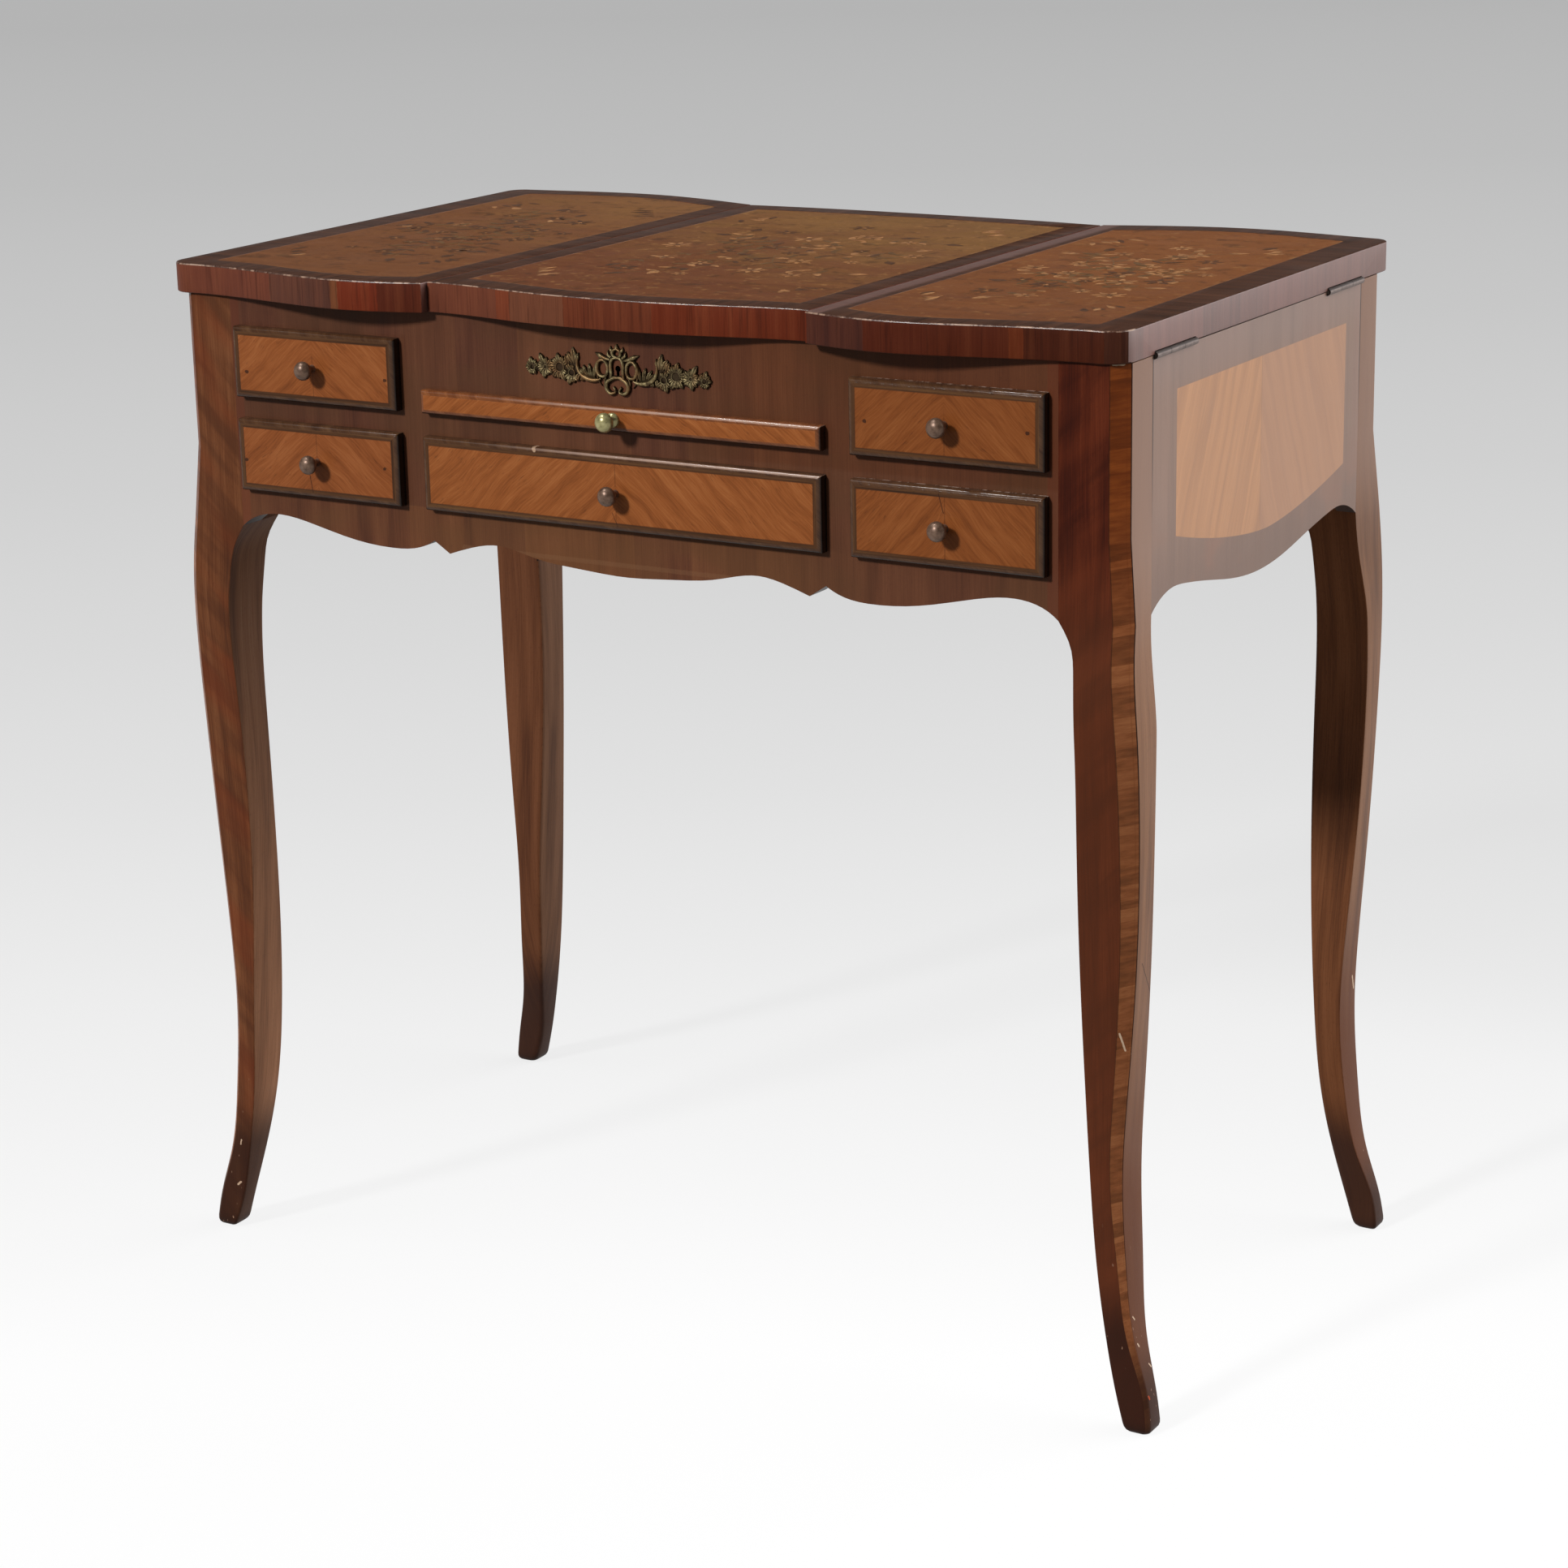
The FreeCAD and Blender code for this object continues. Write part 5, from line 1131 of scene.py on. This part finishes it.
def eased_board(node, body, materials, ease=0.9):
    """The frame's own board with its outer arrises eased: a copy of the node is merged, and the edges
    between its flat faces and its outer side are bevelled. Its recesses keep their sharp edges. The
    materials are those of the board, its left and right edges, and its upper arris at the front.
    """
    mesh = bpy.data.meshes.new(f"{node}_eased")
    work = bmesh.new()
    work.from_mesh(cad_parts[node].data)
    bmesh.ops.remove_doubles(work, verts=work.verts, dist=0.000002)
    bmesh.ops.dissolve_limit(work, angle_limit=math.radians(0.3), verts=work.verts, edges=work.edges)
    corners = np.array([vertex.co for vertex in work.verts])
    centre = Vector((corners.min(0) + corners.max(0)) / 2)
    levels = (corners[:, 2].min(), corners[:, 2].max())
    chosen = []
    for edge in work.edges:
        if len(edge.link_faces) != 2 or edge.calc_face_angle(0.0) < math.radians(40):
            continue
        middle = (edge.verts[0].co + edge.verts[1].co) / 2
        level = all(min(abs(v.co.z - limit) for limit in levels) < 0.00005 for v in edge.verts)
        sides = [face.normal for face in edge.link_faces if abs(face.normal.z) < 0.5]
        away = Vector((middle.x - centre.x, middle.y - centre.y, 0))
        if level and len(sides) == 1 and sides[0].dot(away) > 0:
            chosen.append(edge)
    eased = bmesh.ops.bevel(work, geom=chosen, offset=ease * MM, segments=3, profile=0.5,
                            affect="EDGES", clamp_overlap=True)
    arris = set(eased["faces"])
    work.normal_update()
    board_kind, side_kind, arris_kind, front_part = 0, 1, 2, -185 * MM
    for face in work.faces:
        place = face.calc_center_median()
        if face in arris and place.z > centre.z and place.y < front_part:
            face.material_index = arris_kind
        else:
            face.material_index = side_kind if abs(face.normal.x) > 0.93 else board_kind
    work.to_mesh(mesh)
    work.free()
    place_piece(mesh, body, materials, 30, (node,))


def edge_line(shares, start, end, base, overhang, at):
    """The front or back edge of a board of the top, read at the given places along X."""
    shares = np.array(shares)
    return spline(start + (end - start) * shares[:, 0], base + overhang * shares[:, 1], at)[:, 0]


def lid_edges(at):
    """Front and back edges of the lid's field at the given places along X."""
    front, back = ([(-along, out) for along, out in shares[:0:-1]] + list(shares)
                   for shares in (LID_FRONT_SHARES, LID_BACK_SHARES))
    return (edge_line(front, 0, LID_FIELD_HALF, -FIELD_EDGE, -FRONT_OVERHANG, at),
            edge_line(back, 0, LID_FIELD_HALF, FIELD_EDGE, BACK_OVERHANG, at))


def leaf_edges(side, at):
    """Front and back edges of a leaf's field at the given places along X, for either side."""
    corner = 4.0
    far = LEAF_FIELD_FAR[side] - corner
    along = np.minimum(np.abs(at), far)
    return (edge_line(LEAF_FRONT_SHARES, LEAF_FIELD_NEAR, far, -FIELD_EDGE, -FRONT_OVERHANG, along),
            edge_line(LEAF_BACK_SHARES, LEAF_FIELD_NEAR, far, FIELD_EDGE, BACK_OVERHANG, along))


def field_plate(west, east, edges, across, depth=120):
    """The veneer of a field: X runs evenly from side to side and Y evenly between the two edges. It
    reaches a little under the banding, and lies just below the top so that the cut pieces show.
    """
    reach = 0.3
    x = np.linspace(west - reach, east + reach, across)
    front, back = edges(np.clip(x, west, east))
    share = np.linspace(0, 1, depth)[:, None]
    y = (front - reach) * (1 - share) + (back + reach) * share
    x = np.broadcast_to(x, y.shape)
    from_edge = np.minimum(np.minimum(x - west, east - x), np.minimum(y - front, back - y)) * MM
    points = np.concatenate([np.stack([x, y, np.full_like(y, level)], axis=-1).reshape(-1, 3)
                             for level in (FIELD_LEVEL, FIELD_UNDERSIDE)])
    faces = grid_faces(depth, across, False).tolist()
    under = [[index + depth * across for index in face[::-1]] for face in faces]
    rim = np.concatenate([np.arange(across), np.arange(1, depth) * across + across - 1,
                          (depth - 1) * across + np.arange(across - 2, -1, -1),
                          np.arange(depth - 2, 0, -1) * across])
    walls = np.stack([rim, rim + depth * across, np.roll(rim, -1) + depth * across, np.roll(rim, -1)],
                     axis=1).tolist()
    return points, faces + under + walls, np.tile(from_edge.ravel(), 2)


def slab_corners(level):
    """Side and height of the four corners of a cut piece whose flat top is at a level."""
    return (1, level), (-1, level), (-1, INLAY_UNDERSIDE), (1, INLAY_UNDERSIDE)


def cut_leaf(x, y, angle, length, width, level, bend, steps=8):
    """One leaf or petal of the marquetry: half width is the sine of the way along, drawn to a point, and
    its middle line bends aside with the square of the way along. A slab with a flat top.
    """
    along = np.linspace(0.0, 1.0, steps)
    half = width / 2 * np.sin(np.pi * along ** 0.8) ** 0.8 + 0.05
    middle = np.stack([along * length, bend * along ** 2], axis=1)
    rings = np.empty((steps, 4, 3))
    cosine, sine = math.cos(angle), math.sin(angle)
    for index, (sign, height) in enumerate(slab_corners(level)):
        along_x, along_y = middle[:, 0], middle[:, 1] + sign * half
        rings[:, index, 0] = x + along_x * cosine - along_y * sine
        rings[:, index, 1] = y + along_x * sine + along_y * cosine
        rings[:, index, 2] = height
    return (*tube(rings), np.repeat(1 - along, 4))


def cut_stem(points, width, steps=14):
    """A stem of the marquetry: a thin slab along a smooth line."""
    path = curve_through(points, steps)
    side = across_path(path) * width / 2
    rings = np.empty((steps, 4, 3))
    for index, (sign, height) in enumerate(slab_corners(STEM_LEVEL)):
        rings[:, index, :2] = path + sign * side
        rings[:, index, 2] = height
    return tube(rings)


LIGHT_WOOD, DARK_WOOD, GREEN_WOOD = 0, 1, 2


class Marquetry:
    """The cut pieces of one field. Each lies a hair higher than the last, until the levels start again,
    so that those that cross share no plane.
    """

    def __init__(self, seed, light_share):
        self.draw = np.random.default_rng(seed)
        self.light_share = light_share
        self.skins = Skins()
        self.cut = 0

    def leaf(self, x, y, angle, length, width, kind, bend=0.0):
        """Add a leaf or petal."""
        self.cut += 1
        level = LEAF_LEVEL + LEAF_RISE * (self.cut % LEAF_LEVELS)
        points, faces, scorch = cut_leaf(x, y, angle, length * 1.35, width * 1.25, level, bend)
        self.skins.add(points, faces, kind, scorch)

    def kind(self):
        """The wood of the next flower."""
        return LIGHT_WOOD if self.draw.uniform() < self.light_share else DARK_WOOD

    def flower(self, x, y, radius, petals):
        """Petals set round a point, with a heart of another wood."""
        turn, kind = self.draw.uniform(0, 6), self.kind()
        for number in range(petals):
            angle = turn + number * 2 * math.pi / petals
            self.leaf(x + radius * 0.2 * math.cos(angle), y + radius * 0.2 * math.sin(angle), angle,
                      radius * 0.8, radius * 2.1 / petals, kind, radius * 0.1)
        self.leaf(x - radius * 0.16, y, 0.0, radius * 0.32, radius * 0.3,
                  LIGHT_WOOD if kind == DARK_WOOD else DARK_WOOD)

    def spray(self, points, reach):
        """A stem with leaves in pairs along it and a bud at its end."""
        self.skins.add(*cut_stem(points, 1.0), GREEN_WOOD)
        path = curve_through(points, 40)
        heading = np.arctan2(*np.gradient(path, axis=0).T[::-1])
        for place in range(4, 38, 7):
            for side in (-1, 1):
                kind = GREEN_WOOD if self.draw.uniform() < 0.55 else self.kind()
                self.leaf(*path[place], heading[place] + side * self.draw.uniform(0.6, 1.2),
                          reach * self.draw.uniform(0.6, 1.2), reach * self.draw.uniform(0.3, 0.46), kind,
                          side * reach * self.draw.uniform(0.05, 0.25))
        self.leaf(*path[-1], heading[-1], reach * 1.1, reach * 0.6, self.kind())


def make_marquetry(name, body, middle, half, seed, light_share, materials):
    """The marquetry of one field: a bouquet in its middle, with sprays that curl outwards and small
    flowers between them.
    """
    work = Marquetry(seed, light_share)
    draw = work.draw
    sprays, corner_leaves, flowers, golden_turn = 10, 5, 22, 2.4
    for number in range(sprays):
        angle = (number + 0.5) * 2 * math.pi / sprays + draw.uniform(-0.15, 0.15)
        curl = draw.choice([-1, 1]) * draw.uniform(0.3, 0.6)
        reach = draw.uniform(0.7, 0.98)
        points = []
        for share in (0.10, 0.4, 0.7, 1.0):
            bearing = angle + curl * share ** 2
            points.append((middle[0] + half[0] * share * reach * math.cos(bearing),
                           middle[1] + half[1] * share * reach * math.sin(bearing)))
        work.spray(points, 10.0)
    for across, deep in ((-1, -1), (1, -1), (-1, 1), (1, 1)):
        for number in range(corner_leaves):
            work.leaf(middle[0] + across * (half[0] - 1.0 - 4.0 * number),
                      middle[1] + deep * (half[1] - 6.0 * (corner_leaves - 1 - number)),
                      math.atan2(-deep, -across) + draw.uniform(-0.7, 0.7), draw.uniform(8, 13),
                      draw.uniform(3, 4.5), work.kind())
    for number in range(flowers):
        angle = number * golden_turn
        share = 0.10 + 0.80 * (number / flowers) ** 0.7
        work.flower(middle[0] + half[0] * share * math.cos(angle),
                    middle[1] + half[1] * share * math.sin(angle), draw.uniform(5, 10),
                    int(draw.integers(5, 8)))
    work.skins.piece(name, body, "marquetry", materials, attribute="scorch", smooth=30.0)


# Boards: body, seeds of board and ground, tones of the ground at the front and back, shares of light and
# dark blotches, then middle and half size, seed and share of light flowers of the marquetry
BOARDS = (("left_leaf", 9.0, 2.0, (110, 68, 39), (129, 91, 52), 0.2, 0.6, 2.0, (74.0, 150.0), 19, 0.08),
          ("right_leaf", 11.0, 4.0, (105, 60, 33), (127, 76, 39), 0.45, 0.5, 2.0, (74.0, 150.0), 21, 0.7),
          ("lid", 15.0, 7.0, (100, 54, 30), (126, 91, 50), 0.6, 0.55, 0.0, (112.0, 158.0), 31, 0.6))


def make_top():
    """The three boards, their fields and the marquetry."""
    inlays = [make_inlay(f"inlay_{name}", tones, seed) for name, tones, seed in (
        ("light", ((134, 88, 50), (160, 112, 68), (184, 136, 90)), 1.0),
        ("dark", ((50, 30, 18), (68, 43, 25), (86, 55, 33)), 2.0),
        ("green", ((76, 54, 28), (94, 68, 36), (112, 82, 46)), 3.0))]
    side_edge, arris = make_top_side(), make_arris()
    for body, board_seed, seed, front, back, light, dark, middle_y, half, cut_seed, light_flowers in BOARDS:
        board = make_top_veneer(f"{body}_veneer", board_seed)
        eased_board(f"{body}_board", body, [board, side_edge, arris])
        if body == "lid":
            west, east, edges, across = -LID_FIELD_HALF, LID_FIELD_HALF, lid_edges, 120
        else:
            side = -1 if body == "left_leaf" else 1
            west, east = sorted((side * LEAF_FIELD_NEAR, side * LEAF_FIELD_FAR[side]))
            edges, across = partial(leaf_edges, side), 90
        points, faces, from_edge = field_plate(west, east, edges, across)
        name = f"{body.removesuffix('_leaf')}_field_veneer"
        ground = make_field_ground(name, seed, front, back, light, dark)
        Skins().add(points, faces, 0, from_edge).piece(f"{body}_ground", body, "marquetry", [ground],
                                                       attribute="from_edge", replaces=(f"{body}_field",))
        make_marquetry(f"{body}_marquetry", body, ((west + east) / 2, middle_y), half, cut_seed,
                       light_flowers, inlays)


# The frame's own nodes that stay in view

def dress(material, *names):
    """Give nodes of the frame a material."""
    for name in names:
        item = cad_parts[name]
        if not item.material_slots:
            item.data.materials.append(material)
        for slot in item.material_slots:
            slot.material = material


def dress_nodes():
    """Materials of the case, the insides, the drawers, the hinges, the lock and the mirror."""
    dress(make_front_veneer(), "front_apron", "front_stile_left", "front_stile_right", "front_board_left",
          "front_board_right", "outer_stiles", "slide_rail", "lock_panel")
    dress(make_side_veneer(), "side_panel_left", "side_panel_right", "side_field_left", "side_field_right")
    dress(make_back_veneer(), "back_panel", "mirror_frame")
    drawers = ("left", "centre", "right")
    dress(make_oak("oak_front_to_back", False, 1.0), "partition_left", "partition_right",
          "side_drawer_runners", "centre_runners", *(f"{drawer}_drawer_sides" for drawer in drawers))
    for drawer in drawers:
        dress(make_oak(f"{drawer}_bottom_board", True, 4.0), f"{drawer}_drawer_bottom")
    dress(make_oak("oak_side_to_side", True, 2.0), "well_floor_left", "well_floor_right",
          "compartment_floor", "slide_board")
    dress(make_hinge_metal(), "case_hinge_plates", "left_leaf_hinge_plates", "right_leaf_hinge_plates",
          "lid_hinge_plates", "strike_plate")
    dress(make_metal("dark_iron", ((38, 34, 32), (74, 70, 66), (104, 100, 94)), 0.5, 1.0),
          "lock_case", "lock_bolt", "hinge_pins")
    dress(make_mirror(), "mirror_glass")


# Floor, light and background

# Greys of the floor at distances behind the table in metres, along the line of sight
FLOOR_GREYS = ((-0.45, 255), (-0.22, 255), (-0.05, 251), (0.27, 243), (0.66, 234), (1.16, 225), (1.83, 217),
               (2.8, 208), (4.2, 199), (6.5, 189), (11.1, 180))
FLOOR_START, FLOOR_END, FLOOR_REACH, FLOOR_LEVEL = -1.0, 12.0, 60.0, -0.0005
FLOOR_GLOW, FLOOR_LIT, SURROUND_GREY = 0.89, 0.094, 0.22

# Lamps: name, way towards it, strength, spread in degrees, and if it lights more than glints
LAMPS = (("key_light", (-0.30, -0.80, 0.50), 2.75, 8.0, True),
         ("overhead_light", (-0.45, -0.35, 0.82), 0.4, 30.0, True),
         ("back_right_light", (0.72, 0.55, 0.42), 3.3, 60.0, True),
         ("window_glint", (-0.44, -0.21, 0.87), 1.1, 7.0, False))


def seen_rays(nodes):
    """1 for the rays that show a thing: straight to the camera, in a reflection or through glass."""
    straight, reflected, through = (nodes.node("LightPath", output=f"Is {kind} Ray")
                                    for kind in ("Camera", "Glossy", "Transmission"))
    return straight + reflected + through


def make_floor():
    """A pale floor that fades to grey behind the table. It shows its own colour to the camera and in
    reflections, and the rest of it is lit, so that the table's shadow falls on it.
    """
    material = bpy.data.materials.new("studio_floor")
    material.use_nodes = True
    nodes = Nodes(material.node_tree)
    heading = math.radians(CAMERA_TURNS[0])
    away = (-math.sin(heading), math.cos(heading), 0.0)
    behind = nodes.node("VectorMath", {0: nodes.node("TexCoord", output="Object"), 1: away}, output="Value",
                        operation="DOT_PRODUCT")
    length = FLOOR_END - FLOOR_START
    stops = [((metres - FLOOR_START) / length, (grey, grey, grey)) for metres, grey in FLOOR_GREYS]
    tone = nodes.node("MapRange", {0: behind, 1: FLOOR_START, 2: FLOOR_END}).ramp(*stops)
    glow = nodes.node("Emission", {"Color": tone, "Strength": seen_rays(nodes) * FLOOR_GLOW})
    lit = nodes.node("BsdfDiffuse", {"Color": tone.times((FLOOR_LIT, FLOOR_LIT, FLOOR_LIT))})
    nodes.add("OutputMaterial", {"Surface": nodes.node("AddShader", {0: glow, 1: lit})})
    mesh = bpy.data.meshes.new("studio_floor")
    corners = [(x * FLOOR_REACH, y * FLOOR_REACH, FLOOR_LEVEL)
               for x, y in ((-1, -1), (1, -1), (1, 1), (-1, 1))]
    mesh.from_pydata(corners, [], [(0, 1, 2, 3)])
    mesh.materials.append(material)
    show("studio_floor", mesh)


def make_light():
    """A key from the front left, a soft one overhead, a broad one from the back right, one that shows
    only as a glint on polished edges, and a surround that is even for the light it gives and fades
    upwards where it is seen.
    """
    for name, towards, strength, spread, lights in LAMPS:
        data = bpy.data.lights.new(name, "SUN")
        data.energy = strength
        data.angle = math.radians(spread)
        lamp = show(name, data)
        lamp.visible_diffuse = lights
        lamp.rotation_euler = Vector(towards).to_track_quat("Z", "Y").to_euler()
    world = bpy.data.worlds.new("studio_surround")
    world.use_nodes = True
    nodes = Nodes(world.node_tree)
    _, _, height = nodes.split(nodes.node("TexCoord", output="Generated"))
    fade = height.ramp((0.0, (180, 180, 180)), (0.35, (72, 72, 72)))
    even = nodes.node("Background", {"Color": (SURROUND_GREY, SURROUND_GREY, SURROUND_GREY, 1.0)})
    backdrop = nodes.node("Background", {"Color": fade})
    both = nodes.node("MixShader", {0: seen_rays(nodes), 1: even, 2: backdrop})
    nodes.add("OutputWorld", {"Surface": both})
    bpy.context.scene.world = world
    bpy.context.scene.view_settings.view_transform = "Standard"


place_camera()
make_floor()
make_light()
dark_brass = make_metal("dark_brass", ((78, 58, 45), (104, 80, 65), (122, 98, 81)), 0.36, 0.35,
                        relief=0.00003)
pale_brass = make_metal("pale_brass", ((130, 121, 82), (158, 150, 104), (180, 171, 128)), 0.30, 0.4,
                        relief=0.00002)
gilt_brass = make_metal("gilt_brass", ((44, 31, 20), (116, 101, 70), (166, 152, 112)), 0.5, 0.85,
                        painted_shade_depths=(-0.2092, -0.2070), patches=(120, 84, 52))
dress_nodes()
leg_veneers = {f"leg_{place}": make_leg_veneer(f"kingwood_leg_{place}", *rest) for place, *rest in (
    ("front_left", KINGWOOD_BROWN, 1.0, 0.4, None), ("front_right", KINGWOOD_RED, 2.0, 0.25, (96, 54, 32)),
    ("back_left", KINGWOOD_GOLD, 3.0, 0.4, None), ("back_right", KINGWOOD_DEEP, 4.0, 0.2, None))}
make_legs(leg_veneers, make_strip_veneer(), make_inner_leg(), make_leg_side())
make_all_fronts()
make_knobs(dark_brass, pale_brass)
make_mount(gilt_brass)
make_top()
